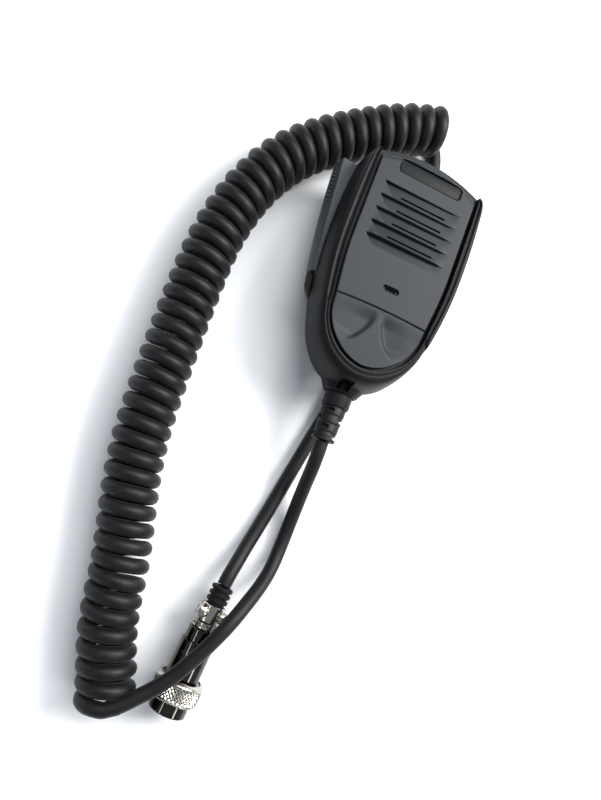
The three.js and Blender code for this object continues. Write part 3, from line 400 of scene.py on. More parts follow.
def prism(name, points, z0, z1):
    """An outline drawn up from one height to another."""
    return ringed(name, [[(x, y, z) for x, y in points] for z in (z0, z1)])


def ringed(name, loops, closed=False):
    """A skin through loops of the same number of points, capped at both ends, or bridged from the
    last loop back to the first."""
    count = len(loops[0])
    clear()
    bpy.ops.mesh.primitive_circle_add(vertices=count, radius=1, fill_type="NGON")
    obj = added(name)
    bpy.ops.object.mode_set(mode="EDIT")
    bpy.ops.mesh.select_all(action="SELECT")
    for _ in loops[1:]:
        bpy.ops.mesh.extrude_region_move(TRANSFORM_OT_translate={"value": (0, 0, 1)})
    bpy.ops.object.mode_set(mode="OBJECT")
    for vertex in obj.data.vertices:
        x, y, z = vertex.co
        vertex.co = loops[round(z)][round(math.atan2(x, y) / (2 * math.pi) * count) % count]
    if closed:
        bpy.ops.object.mode_set(mode="EDIT")
        bpy.ops.mesh.select_all(action="DESELECT")
        bpy.ops.object.mode_set(mode="OBJECT")
        for polygon in obj.data.polygons:
            polygon.select = polygon.loop_total == count
        bpy.ops.object.mode_set(mode="EDIT")
        bpy.ops.mesh.delete(type="ONLY_FACE")
        bpy.ops.mesh.select_mode(type="EDGE")
        bpy.ops.mesh.select_all(action="DESELECT")
        bpy.ops.mesh.select_non_manifold()
        bpy.ops.mesh.bridge_edge_loops()
        bpy.ops.object.mode_set(mode="OBJECT")
    return outwards(obj)


def copied(obj, name):
    twin = obj.copy()
    twin.data = obj.data.copy()
    twin.name = twin.data.name = name
    bpy.context.scene.collection.objects.link(twin)
    return twin


def turned_to(obj, matrix):
    obj.data.transform(matrix)
    return obj


def seat(obj, matrix, finish, stands_for, body="root", angle=32):
    """Brings a finished piece from millimetres to its place, with its material, node and body."""
    obj.data.transform(matrix)
    obj.data.update()
    take(obj)
    bpy.ops.object.shade_smooth_by_angle(angle=math.radians(angle))
    if not obj.data.materials:
        obj.data.materials.append(finish)
    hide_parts(*stands_for)
    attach(obj, body)
    return obj


HANDSET = Matrix.Scale(MM, 4) @ Matrix.Translation((FACE_X, FACE_Y, 0))
plug_z = Vector(PLUG_AXIS).normalized()
plug_y = Vector((0, 0, 1))
plug_x = plug_y.cross(plug_z)
plug_turn = Matrix((plug_x, plug_y, plug_z)).transposed().to_4x4()
PLUG = Matrix.Scale(MM, 4) @ Matrix.Translation(PLUG_AT) @ plug_turn
CHIN_EXIT = Matrix.Translation((0, -HALF_LENGTH, EXIT_Z)) @ Matrix.Rotation(math.pi / 2, 4, "X")
EXIT = HANDSET @ CHIN_EXIT


# ------------------------------------------------------------------ cord
# Routes in metres, in the part's frame.
HANDSET_RUN = [
    (0.00275, -0.06755, 0.019), (0.003, -0.0725, 0.0185), (0.0036, -0.078, 0.0162),
    (0.0043, -0.084, 0.0125), (0.0051, -0.0905, 0.0086), (0.0058, -0.0975, 0.0054),
    (0.0061, -0.105, 0.0037), (0.0059, -0.1125, 0.0038), (0.0049, -0.1195, 0.0058),
    (0.0023, -0.1267, 0.010), (-0.0016, -0.1342, 0.0148), (-0.0056, -0.1419, 0.0183),
    (-0.0097, -0.1499, 0.0192), (-0.0142, -0.158, 0.0192), (-0.0196, -0.1663, 0.0191),
    (-0.0273, -0.1746, 0.0187),
]
COIL_AXIS = [
    (-0.0368, -0.182), (-0.0398, -0.173), (-0.043, -0.165), (-0.046, -0.156), (-0.0482, -0.146),
    (-0.0502, -0.135), (-0.053, -0.124), (-0.056, -0.113), (-0.0586, -0.102), (-0.0608, -0.089),
    (-0.062, -0.075), (-0.0628, -0.060), (-0.0634, -0.046), (-0.0638, -0.032), (-0.0639, -0.019),
    (-0.0632, -0.006), (-0.061, 0.007), (-0.0574, 0.019), (-0.0524, 0.030), (-0.0456, 0.040),
    (-0.037, 0.049), (-0.0272, 0.0574), (-0.0168, 0.0652), (-0.0054, 0.0722), (0.007, 0.0774),
]
PLUG_RUN = [
    (0.0114, 0.0686, 0.00285), (0.0126, 0.060, 0.00285), (0.0132, 0.050, 0.00285),
    (0.0137, 0.038, 0.00285), (0.0141, 0.026, 0.00285), (0.0141, 0.013, 0.00285),
    (0.0134, 0.0, 0.00285), (0.012, -0.013, 0.00285), (0.0102, -0.026, 0.00285),
    (0.008, -0.039, 0.00285), (0.0056, -0.051, 0.00285), (0.0032, -0.0625, 0.00285),
    (0.001, -0.074, 0.00285), (-0.0011, -0.0855, 0.00285), (-0.0032, -0.097, 0.0029),
    (-0.0054, -0.1075, 0.0036), (-0.0075, -0.116, 0.0052), (-0.0093, -0.123, 0.0075),
    (-0.0105, -0.128, 0.0089), (-0.01096, -0.1313, 0.00925),
]
POINTS_PER_TURN = 16


def smooth_line(points, count):
    """Evenly spaced points on a smooth curve through the given ones."""
    given = np.array(points, float)
    ends = np.vstack([2 * given[0] - given[1], given, 2 * given[-1] - given[-2]])
    fine = []
    for i in range(1, len(ends) - 2):
        a, b, c, d = ends[i - 1:i + 3]
        for t in np.linspace(0, 1, 24, endpoint=False):
            fine.append(0.5 * (2 * b + (c - a) * t + (2 * a - 5 * b + 4 * c - d) * t**2
                               + (3 * b - a - 3 * c + d) * t**3))
    fine = np.array(fine + [given[-1]])
    along = np.concatenate([[0], np.cumsum(np.linalg.norm(np.diff(fine, axis=0), axis=1))])
    wanted = np.linspace(0, along[-1], count)
    return np.stack([np.interp(wanted, along, fine[:, k]) for k in range(fine.shape[1])], axis=1)


def coil_points():
    """The curly stretch: a left-handed helix about the coil's axis, from the top strand at its lower
    end to the bottom strand at its upper end."""
    steps = COIL_TURNS * POINTS_PER_TURN + POINTS_PER_TURN // 2
    axis = smooth_line(COIL_AXIS, steps + 1)
    travel = np.gradient(axis, axis=0)
    travel /= np.linalg.norm(travel, axis=1)[:, None]
    radius = (COIL_R - CORD_R) * MM
    turn = 2 * np.pi * np.arange(steps + 1) / POINTS_PER_TURN
    sideways = radius * np.sin(turn)
    x = axis[:, 0] - travel[:, 1] * sideways
    y = axis[:, 1] + travel[:, 0] * sideways
    z = COIL_R * MM + radius * np.cos(turn)
    return np.stack([x, y, z], axis=1)


def make_cord(finish):
    points = np.vstack([HANDSET_RUN, coil_points(), PLUG_RUN])
    data = bpy.data.curves.new("cord", "CURVE")
    data.dimensions = "3D"
    data.bevel_depth = CORD_R * MM
    data.bevel_resolution = 4
    data.resolution_u = 3
    data.use_fill_caps = True
    line = data.splines.new("BEZIER")
    line.bezier_points.add(len(points) - 1)
    for knot, point in zip(line.bezier_points, points):
        knot.co = point
        knot.handle_left_type = knot.handle_right_type = "AUTO"
    cord = bpy.data.objects.new("cord", data)
    bpy.context.scene.collection.objects.link(cord)
    data.materials.append(finish)
    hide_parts("handset_cord", "curly_cord", "plug_cord")
    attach(cord, "root")
    return cord


# ------------------------------------------------------------------ outlines
def drawn(*cubics):
    """Points along a chain of cubic curves, each given by its four control points."""
    points = []
    for cubic in cubics:
        a, b, c, d = (Vector(p).to_3d() for p in cubic)
        points += [p.to_2d() for p in interpolate_bezier(a, b, c, d, 40)]
    return np.array(points)


def as_cubic(a, b, c):
    """The four control points of a curve given by three."""
    a, b, c = (Vector(p) for p in (a, b, c))
    return a, a + (b - a) * 2 / 3, c + (b - c) * 2 / 3, c


def mirrored_loop(half):
    """A closed loop of evenly spaced points from its right half, top middle round to bottom middle."""
    count = OUTLINE_POINTS // 2
    steps = np.concatenate([[0], np.cumsum(np.linalg.norm(np.diff(half, axis=0), axis=1))])
    wanted = np.linspace(0, steps[-1], count + 1)
    right = np.stack([np.interp(wanted, steps, half[:, k]) for k in (0, 1)], axis=1)
    left = right[1:-1][::-1] * [-1, 1]
    return np.vstack([right, left])


def casing_loop():
    top, chin = (0, HALF_LENGTH), (0, -HALF_LENGTH)
    shoulder, corner = (SHOULDER_HALF, SHOULDER_Y), (SHOULDER_HALF - 3.4, SHOULDER_Y + 4)
    waist, jaw = (CHIN_HALF + 1.9, CHIN_Y + 8), (CHIN_HALF - 0.6, CHIN_Y)
    half = drawn(
        (top, (SHOULDER_HALF * 0.35, HALF_LENGTH), (SHOULDER_HALF * 0.66, SHOULDER_Y + 6.4), corner),
        as_cubic(corner, (SHOULDER_HALF - 0.5, SHOULDER_Y + 2.8), shoulder),
        (shoulder, (HALF_WIDTH + 0.4, SHOULDER_Y - 14), (HALF_WIDTH + 1.1, -2), waist),
        as_cubic(waist, (CHIN_HALF + 0.7, CHIN_Y + 4), jaw),
        (jaw, (CHIN_HALF - 5, CHIN_Y - 11), (CHIN_HALF * 0.45, -HALF_LENGTH), chin),
    )
    half[:, 0] *= HALF_WIDTH / half[:, 0].max()
    return mirrored_loop(half)


def panel_top(grow=0.0):
    half, corner, top = PANEL_HALF + grow, PANEL_CORNER_Y + grow, PANEL_TOP_Y + grow
    return drawn(((0, top), (half * 0.4, top), (half * 0.75, corner + 1.6), (half, corner)))


def panel_side(grow=0.0):
    half, split, tip = PANEL_HALF + grow, SPLIT_HALF + grow, PANEL_TIP_Y - grow
    return drawn(
        ((half, PANEL_CORNER_Y + grow), (half, 30), (half, 20), (half, PANEL_NARROW_Y)),
        ((half, PANEL_NARROW_Y), (half, -4), (split + 0.6, -12), (split, SPLIT_Y - 2)),
        ((split, SPLIT_Y - 2), (split, tip + 9), (split * 0.5, tip), (0, tip)),
    )


def panel_loop(grow=0.0):
    return mirrored_loop(np.vstack([panel_top(grow), panel_side(grow)]))


def split_y(x):
    """Height of the arched line between the two panels."""
    reach = HALF_WIDTH + 5
    t = (np.asarray(x, float) + reach) / (2 * reach)
    low, peak = SPLIT_Y - SPLIT_RISE, SPLIT_Y + 2 * SPLIT_RISE
    return low * (1 - t) ** 2 + 2 * peak * t * (1 - t) + low * t**2


def half_width(y):
    side = panel_side()[::-1]
    return np.interp(y, side[:, 1], side[:, 0])


def top_y(x):
    top = panel_top()
    return np.interp(np.abs(x), top[:, 0], top[:, 1])


def eased(value):
    """0 below 0, 1 above 1 and a smooth rise between."""
    t = np.clip(value, 0, 1)
    return t * t * (3 - 2 * t)


def stadium(length, width, x=0.0, y=0.0, corner=None):
    """A slot's outline, or a rounded rectangle's where the corner radius is given."""
    radius = corner or width / 2 - 1e-4
    points = []
    for sx, sy, start in ((1, -1, -90), (1, 1, 0), (-1, 1, 90), (-1, -1, 180)):
        cx, cy = x + sx * (length / 2 - radius), y + sy * (width / 2 - radius)
        for step in range(9):
            angle = math.radians(start + step * 90 / 8)
            points.append((cx + radius * math.cos(angle), cy + radius * math.sin(angle)))
    return points


# ------------------------------------------------------------------ casing
# The front shell's skin from the parting line over the rail into the groove: the share of the way
# across, and the heights there beside the panels and round the chin.
FRONT_SKIN = [
    (0.0, 20.15, 20.15), (0.04, 22.3, 22.4), (0.10, 25.0, 25.2), (0.17, 28.0, 27.8), (0.24, 30.6, 29.8),
    (0.30, 32.4, 31.2), (0.36, 33.7, 32.2), (0.42, 34.5, 33.0), (0.49, 34.95, 33.6), (0.57, 35.1, 34.0),
    (0.65, 35.0, 34.2), (0.70, 34.75, 34.25), (0.74, 34.4, 34.2), (0.78, 34.45, 34.3), (0.83, 34.85, 34.45),
    (0.88, 35.1, 34.55), (0.93, 35.15, 34.6), (0.97, 34.95, 34.5), (0.99, 34.6, 34.2), (1.0, 34.0, 33.6),
]
CHIN_STEP_Y = -24.0               # the side rails end here and the round chin begins
PANEL_FLOOR_Z = PANEL_BACK_Z - GAP
LEDGE = 2.0
LEVER_SLOT = ((-40, -22.1), (-9.1, 40.2), (13.9, 22.9))     # opening for the lever in the left flank
CHIN_HOLE_R = 5.8
POCKET = ((-3.9, 1.0), (-48.3, -44.6), (EXIT_Z + 4.6, 40))  # dark pocket over the boot


def drawn_in(loop, amount):
    return loop * [1 - amount / HALF_WIDTH, 1 - amount / HALF_LENGTH]


def at_height(loop, z):
    return [(x, y, z) for x, y in loop]


def lever_slot():
    return cuboid("lever_slot", *LEVER_SLOT)


def chin_hole():
    return turned_to(turned("chin_hole", [(CHIN_HOLE_R, -20), (CHIN_HOLE_R, 12)]), CHIN_EXIT)


def chin_socket(name, low, high):
    """The flared socket round the boot, on one side of the parting line."""
    socket = turned(name, [(9.6, -6), (9.4, -3.4), (8.3, -1.2), (7.3, 0.4), (6.9, 1.2), (6.5, 1.5)])
    turned_to(socket, CHIN_EXIT)
    return carve(socket, [cuboid("half", (-20, 20), (-60, -30), (low, high))], "INTERSECT")


def make_front_shell():
    outer, rim = casing_loop(), panel_loop(GROOVE)
    chin = eased((CHIN_STEP_Y - outer[:, 1]) / 1.6)
    loops = []
    for share, side_z, chin_z in FRONT_SKIN:
        flat = outer + (rim - outer) * share
        loops.append([(x, y, side_z + (chin_z - side_z) * c) for (x, y), c in zip(flat, chin)])
    loops.append(at_height(rim, PANEL_FLOOR_Z))
    loops.append(at_height(panel_loop(-LEDGE), PANEL_FLOOR_Z))
    loops.append(at_height(panel_loop(-LEDGE), PANEL_FLOOR_Z - WALL))
    loops.append(at_height(drawn_in(outer, 4.4 + WALL), PANEL_FLOOR_Z - WALL))
    loops.append(at_height(drawn_in(outer, WALL), PARTING_Z + GAP / 2))
    shell = ringed("front_shell_skin", loops, closed=True)
    gap_half = PANEL_HALF + GROOVE
    top_gap = cuboid("top_gap", (-gap_half, gap_half), (PANEL_CORNER_Y - 1, 60), (PANEL_FLOOR_Z, 40))
    carve(shell, [chin_socket("front_socket", PARTING_Z + GAP / 2, 60)], "UNION")
    pocket = cuboid("pocket", *POCKET, 0.7)
    carve(shell, [top_gap, lever_slot(), chin_hole(), pocket])
    return seat(outwards(shell), HANDSET, finishes["flank"], ["front_shell"])


REAR_SKIN = [
    (19.85, 0.0), (18.0, 0.15), (16.0, 0.6), (14.0, 1.2), (12.0, 2.0), (10.4, 2.9), (9.0, 4.0), (7.9, 5.2),
    (7.2, 6.6), (6.75, 7.9), (6.5, 9.4),
]
SCREW_PLACES = [(17.5, 33.5), (-16.5, 33.5), (10.5, -28), (-10.5, -28)]
STUD_Y = 14.0


def make_rear_shell():
    outer = casing_loop()
    # the left flank swells into a rest for the thumb's ball under the lever
    swell = eased((outer[:, 1] + 20) / 6) * eased((-1 - outer[:, 1]) / 8) * (outer[:, 0] < 0)
    loops = [at_height(drawn_in(outer, 8.4), BACK_Z + WALL), at_height(drawn_in(outer, 0.6 + WALL), 16)]
    loops.append(at_height(drawn_in(outer, WALL), REAR_SKIN[0][0]))
    for z, amount in REAR_SKIN:
        flat = drawn_in(outer, amount)
        bulge = 2.4 * eased((z - 8) / 8)
        loops.append([(x - bulge * s, y, z) for (x, y), s in zip(flat, swell)])
    shell = ringed("rear_shell_skin", loops)
    carve(shell, [chin_socket("rear_socket", 0, PARTING_Z - GAP / 2)], "UNION")
    wells = [turned_to(turned("well", [(2.7, 0), (2.7, 4)], 32), Matrix.Translation((x, y, BACK_Z - 1.6)))
             for x, y in SCREW_PLACES]
    carve(shell, [lever_slot(), chin_hole(), *wells])
    return seat(outwards(shell), HANDSET, finishes["flank"], ["rear_shell"])


# ------------------------------------------------------------------ face panels
LOUVRE_STEPS = [32.0, 26.425, 20.85, 15.275, 9.7]   # where each louvre drops away, from the top down
LOUVRE_CRESTS = [0.0, 0.15, 0.3, 0.45, 0.8]         # level of the crest above each drop
LOUVRE_DEPTH = 1.5
SCOOP_Y = 5.6                     # where the hollow below the last louvre ends
LOUVRE_LEFT, LOUVRE_RIGHT = -16.5, 17.5
SLOT_ROWS = [27.925, 22.35, 16.775, 11.2]
SLOT_X, SLOT_LENGTH, SLOT_WIDTH = 1.6, 19.6, 0.9
PLATE_X, PLATE_Y, PLATE_SIZE = 0.8, 40.6, (26.4, 4.9)
PLATE_RECESS_DEPTH, PLATE_MARGIN = 1.35, 1.2
MIC_X, MIC_Y = 0.6, -7.4
MIC_RECESS, MIC_RECESS_DEPTH, MIC_HOLE = (7.0, 2.6), 1.4, (4.4, 2.0)
SIDE_ROUNDING, SPLIT_ROUNDING = 0.5, 0.35


def louvre_height(x, y):
    """Height of the louvre field above the panel."""
    z = np.zeros_like(x)
    strength = np.clip(1 - 0.45 * (x + 12) / 24, 0.45, 1) * eased((LOUVRE_RIGHT - x) / 5)
    feet = LOUVRE_STEPS[1:] + [SCOOP_Y]
    crests = LOUVRE_CRESTS[1:] + [0.0]
    for top, foot, crest in zip(LOUVRE_STEPS, feet, crests):
        below = top - y
        inside = (y < top - 1e-6) & (y >= foot)
        start = LOUVRE_LEFT + 0.9 * below
        pit = -LOUVRE_DEPTH * strength * np.clip((x - start) / 0.8, 0, 1)
        side = eased((x - LOUVRE_LEFT - 0.5) / 3) * eased((LOUVRE_RIGHT - x) / 5)
        share = np.clip(below / (top - foot), 0, 1)
        z = np.where(inside, pit * (1 - share) + crest * side * share**1.3, z)
    return z


def edge_drop(distance, radius):
    """How far a rounded edge of that radius has dropped at a distance from the outline."""
    t = np.clip(1 - distance / radius, 0, 1)
    return radius * (1 - np.sqrt(1 - t * t * 0.98))


def sheeted(name, rows, columns, place, height):
    """A plate whose upper face is a fine sheet shaped by a height, with straight walls and back."""
    clear()
    bpy.ops.mesh.primitive_grid_add(x_subdivisions=columns, y_subdivisions=rows, size=2)
    obj = added(name)
    count = len(obj.data.vertices)
    flat = np.zeros(count * 3)
    obj.data.vertices.foreach_get("co", flat)
    across, up = flat.reshape(-1, 3)[:, 0], flat.reshape(-1, 3)[:, 1]
    x, y = place(across, np.rint((up + 1) / 2 * rows).astype(int))
    obj.data.vertices.foreach_set("co", np.stack([x, y, height(x, y, across)], axis=1).ravel())
    bpy.ops.object.mode_set(mode="EDIT")
    bpy.ops.mesh.select_all(action="SELECT")
    bpy.ops.mesh.region_to_loop()
    bpy.ops.mesh.extrude_edges_move()
    bpy.ops.object.mode_set(mode="OBJECT")
    for vertex in obj.data.vertices:
        if vertex.select:
            vertex.co.z = PANEL_BACK_Z
    bpy.ops.object.mode_set(mode="EDIT")
    bpy.ops.mesh.edge_face_add()
    bpy.ops.object.mode_set(mode="OBJECT")
    return outwards(obj)


def crowded(across):
    """Columns set closer together towards both edges."""
    return across * (1.25 - 0.25 * across**2)


def make_grille_panel():
    low_y, high_y = -11.0, 34.0
    drops = [step - 0.12 for step in LOUVRE_STEPS]
    rows = np.concatenate([np.arange(low_y, high_y, 0.45), LOUVRE_STEPS, drops, [high_y]])
    steady = np.unique(np.round(rows, 3))
    below, above = 14, 26
    towards_split = np.linspace(-1, 0, below + 1)[:-1]
    towards_top = np.linspace(0, 1, above + 1)[1:]
    shares = np.concatenate([towards_split, np.zeros(len(steady)), towards_top])
    levels = np.concatenate([np.full(below, low_y), steady, np.full(above, high_y)])

    def place(across, row):
        share, level = shares[row], levels[row]
        x = crowded(across) * PANEL_HALF
        for _ in range(4):
            down = split_y(x) + GAP / 2
            falling = level + (level - down) * share
            rising = level + (top_y(x) - level) * np.sin(share * np.pi / 2)
            y = np.where(share < 0, falling, rising)
            x = crowded(across) * half_width(y)
        return x, y

    def height(x, y, across):
        side = (1 - np.abs(crowded(across))) * half_width(y)
        lower = y - split_y(x) - GAP / 2
        upper = top_y(x) - y
        z = PANEL_Z + louvre_height(x, y) - edge_drop(side, SIDE_ROUNDING) - edge_drop(lower, SPLIT_ROUNDING)
        return z - 1.1 * np.clip(1 - upper / 2.6, 0, 1) ** 2

    panel = sheeted("grille_panel_face", len(levels) - 1, 110, place, height)
    under, over = PANEL_BACK_Z - 1, RAIL_Z + 1
    slots = [prism("slot", stadium(SLOT_LENGTH, SLOT_WIDTH, SLOT_X, y), under, over) for y in SLOT_ROWS]
    length, width = (size + PLATE_MARGIN for size in PLATE_SIZE)
    recess_outline = stadium(length, width, PLATE_X, PLATE_Y, 1.7)
    recess = prism("recess", recess_outline, PANEL_Z - PLATE_RECESS_DEPTH, over)
    mouth = prism("mouth", stadium(*MIC_RECESS, MIC_X, MIC_Y), PANEL_Z - MIC_RECESS_DEPTH, over)
    hole = prism("hole", stadium(*MIC_HOLE, MIC_X, MIC_Y), under, RAIL_Z)
    carve(panel, [*slots, recess, mouth, hole])
    return seat(outwards(panel), HANDSET, finishes["case"], ["grille_panel"], angle=38)


HOLLOW_DEPTH = 1.35


def make_lower_panel():
    rows = 70
    shares = np.sin(np.linspace(0, 1, rows + 1)[::-1] * np.pi / 2)

    def place(across, row):
        share = shares[row]
        x = crowded(across) * SPLIT_HALF
        for _ in range(6):
            y = (split_y(x) - GAP / 2) * (1 - share) + PANEL_TIP_Y * share
            x = crowded(across) * half_width(y)
        return x, y

    def height(x, y, across):
        # the hollows are deepest beside the keel and run out towards the sides and the lower lips
        away = np.abs(x) - 0.5 - 8.5 * np.clip((-18 - y) / 15, 0, 1) ** 2
        beside = eased(away / 2.4) * (1 - 0.7 * eased(away / 14))
        lip = -33.5 + 0.22 * (np.abs(x) - 7)
        dish = HOLLOW_DEPTH * beside * eased((y - lip) / 5.5) * eased((split_y(x) - 0.6 - y) / 6)
        side = (1 - np.abs(crowded(across))) * half_width(y)
        upper = split_y(x) - GAP / 2 - y
        return PANEL_Z - dish - edge_drop(side, SIDE_ROUNDING) - edge_drop(upper, SPLIT_ROUNDING)

    panel = sheeted("lower_panel_face", rows, 90, place, height)
    return seat(outwards(panel), HANDSET, finishes["case"], ["lower_panel"], angle=38)


def make_name_plate():
    plate = prism("name_plate", stadium(*PLATE_SIZE, PLATE_X, PLATE_Y, 1.3), PANEL_Z - 1.3, PANEL_Z - 0.75)
    soften(plate, 0.22, 2, 60)
    return seat(plate, HANDSET, finishes["plate"], ["blank_name_plate"])


# ------------------------------------------------------------------ talk lever
LEVER_TOP_Y, LEVER_LOW_Y, LEVER_REACH, LEVER_INNER_X = 39.0, -8.5, 34.0, -24.6
LEVER_LOW_Z, LEVER_HIGH_Z = 14.5, 22.3
LEVER_BAND = 1.4                  # width of the steep band along its outer edge, at the top
LEVER_BAND_LEAN = math.radians(-68)
RIDGE_COUNT, RIDGE_PITCH = 9, 1.7


def lever_outline():
    top, outer_corner = (-LEVER_REACH + 2, LEVER_TOP_Y), (-LEVER_REACH, LEVER_TOP_Y)
    shoulder = (-LEVER_REACH, LEVER_TOP_Y - 2)
    heel, tail = (-HALF_WIDTH - 0.5, LEVER_LOW_Y + 1.5), (-HALF_WIDTH + 1, LEVER_LOW_Y)
    edge = drawn(
        as_cubic(top, outer_corner, shoulder),
        as_cubic(shoulder, (-LEVER_REACH + 1.2, 14), heel),
        as_cubic(heel, (-HALF_WIDTH - 0.2, LEVER_LOW_Y), tail),
    )
    kept = [tuple(edge[i]) for i in range(0, len(edge), 3)]
    return [(LEVER_INNER_X, LEVER_TOP_Y - 0.6), *kept, (LEVER_INNER_X, LEVER_LOW_Y)]


def make_lever():
    lever = prism("talk_lever", lever_outline()[::-1], LEVER_LOW_Z, LEVER_HIGH_Z)
    # a steep flat along the outer edge, which runs out at the lever's lower end
    run_out = math.atan2(LEVER_REACH - LEVER_BAND - HALF_WIDTH + 0.3, LEVER_TOP_Y - LEVER_LOW_Y)
    flat = cuboid("flat", (-12, 0), (-70, 70), (0, 12))
    turned_to(flat, Matrix.Rotation(LEVER_BAND_LEAN, 4, "Y"))
    corner = Matrix.Translation((-LEVER_REACH + LEVER_BAND, LEVER_TOP_Y, LEVER_HIGH_Z))
    turned_to(flat, corner @ Matrix.Rotation(run_out, 4, "Z"))
    carve(lever, [flat])
    soften(lever, 0.5, 3, 40)
    return seat(outwards(lever), HANDSET, finishes["lever"], ["ptt_lever"], "lever")


def make_lever_ridges():
    """Grip ridges across the lever's outer face near its top."""
    height = (LEVER_LOW_Z + 1.2, LEVER_HIGH_Z - 2.6)
    first = cuboid("grip_ridges", (-LEVER_REACH, -LEVER_REACH + 1.0), (-0.35, 0.35), height, 0.25, 2)
    ridges = []
    for i in range(RIDGE_COUNT):
        ridge = copied(first, f"ridge_{i}")
        # each stands a little further in than the last, as the lever's edge curves
        turned_to(ridge, Matrix.Translation((0.05 + 0.012 * i * i, LEVER_TOP_Y - 4 - i * RIDGE_PITCH, 0)))
        ridges.append(ridge)
    bpy.data.objects.remove(first)
    clear()
    for ridge in ridges:
        ridge.select_set(True)
    bpy.context.view_layer.objects.active = ridges[0]
    bpy.ops.object.join()
    return seat(added("lever_grip_ridges"), HANDSET, finishes["lever"], [], "lever")


# ------------------------------------------------------------------ fasteners and stud
def cross_cut(size, depth, z):
    """The two crossed slots of a cross-head screw."""
    return [cuboid("cut", (-size, size), (-size / 4.5, size / 4.5), (z - depth, z + depth)),
            cuboid("cut", (-size / 4.5, size / 4.5), (-size, size), (z - depth, z + depth))]


def make_shell_screws():
    under = BACK_Z + GAP
    head = turned("shell_screw", [
        (1.6, under - 0.02), (2.2, under + 0.25), (2.4, under + 0.8), (2.4, under + 1.8),
        (1.2, under + 1.8), (1.2, 27),
    ], 40)
    carve(head, cross_cut(1.3, 0.8, under))
    for i, (x, y) in enumerate(SCREW_PLACES, 1):
        screw = turned_to(copied(head, f"shell_screw_{i}_made"), Matrix.Translation((x, y, 0)))
        seat(screw, HANDSET, finishes["steel"], [f"shell_screw_{i}"])
    bpy.data.objects.remove(head)


def make_stud():
    at_stud = Matrix.Translation((0, STUD_Y, 0))
    stud = turned("hang_up_stud", [
        (3.1, 2.0), (3.1, 0.0), (6.4, 0.0), (6.8, 0.15), (7.0, 0.55), (7.0, 1.9), (6.8, 2.25),
        (6.4, 2.4), (3.9, 2.4), (3.6, 2.6), (3.5, 3.0), (3.5, 6.2),
    ], 72)
    seat(turned_to(stud, at_stud), HANDSET, finishes["satin"], ["hang_stud"])
    screw = turned("stud_screw_made", [
        (1.9, 0.35), (2.4, 0.6), (2.6, 1.1), (2.6, 1.8), (1.3, 1.8), (1.3, 12),
    ], 40)
    carve(screw, cross_cut(1.5, 0.8, 0.35))
    seat(turned_to(screw, at_stud), HANDSET, finishes["steel"], ["stud_screw"])


# ------------------------------------------------------------------ cord exit
BOOT_PLAIN, BOOT_LENGTH = 7.0, 20.5
BOOT_SEGMENTS, BOOT_RIB_R = 4, 4.75


def make_boot():
    pitch = (BOOT_LENGTH - BOOT_PLAIN) / BOOT_SEGMENTS
    profile = [
        (6.5, -7), (6.5, -5.4), (5.5, -5.4), (5.5, 0), (5.45, BOOT_PLAIN - 0.7), (5.2, BOOT_PLAIN - 0.1),
        (BOOT_RIB_R, BOOT_PLAIN),
    ]
    for i in range(BOOT_SEGMENTS):
        y, r = BOOT_PLAIN + i * pitch, BOOT_RIB_R - 0.14 * i
        profile += [(r - 0.15, y + 0.1), (r, y + 0.4), (r, y + pitch - 0.35), (r - 0.2, y + pitch - 0.05)]
    profile[-2:] = [(r, BOOT_LENGTH - 1.7), (r + 0.3, BOOT_LENGTH - 1.5), (r + 0.3, BOOT_LENGTH - 0.2)]
    profile += [(r + 0.1, BOOT_LENGTH), (3.2, BOOT_LENGTH)]
    boot = turned("strain_relief_boot_made", profile, 56)
    windows = []
    for i in range(BOOT_SEGMENTS):
        middle = BOOT_PLAIN + (i + 0.45) * pitch
        # a pair of short windows takes turns with a pair of long ones, a quarter turn on
        half = 3.4 if i % 2 else 1.2
        along = (middle - 0.75, middle + 0.75)
        for sign in (-1, 1):
            window = cuboid("window", (-half, half), (3.1 * sign, 9 * sign), along, 0.2, 2)
            windows.append(turned_to(window, Matrix.Rotation(math.radians(90 * (i % 2) + 25), 4, "Z")))
    carve(boot, windows)
    return seat(outwards(boot), EXIT, finishes["boot"], ["strain_relief_boot"])


# ------------------------------------------------------------------ plug
GROMMET_RIBS, GROMMET_PITCH = 3, 2.3


def make_grommet():
    profile = [(3.1, -7.4), (3.5, -7.25)]
    for i in range(GROMMET_RIBS):
        z = -7.1 + i * GROMMET_PITCH
        profile += [(3.95, z), (4.2, z + 0.25), (4.2, z + 1.1), (3.95, z + 1.35)]
        profile += [(3.4, z + 1.45), (3.4, z + 2.2)]
    profile += [(3.6, -0.25), (2.6, -0.2), (2.6, 6.2)]
    grommet = turned("plug_grommet_made", profile, 56)
    return seat(grommet, PLUG, finishes["grommet"], ["plug_grommet"])


CLAMP_BORE_R = 2.9
CLAMP_SPLIT = 0.6                                # half of the gap between its two halves
CLAMP_EAR_END, CLAMP_SCREW_X, CLAMP_SCREW_Z = 5.6, 4.2, 3.3
CLAMP_BASE_LOW, CLAMP_SADDLE_TOP = -2.4, 4.2     # how far the ears reach below and above the split
CLAMP_SLOT_TURN = 35                             # degrees each screw's slot is turned from straight across


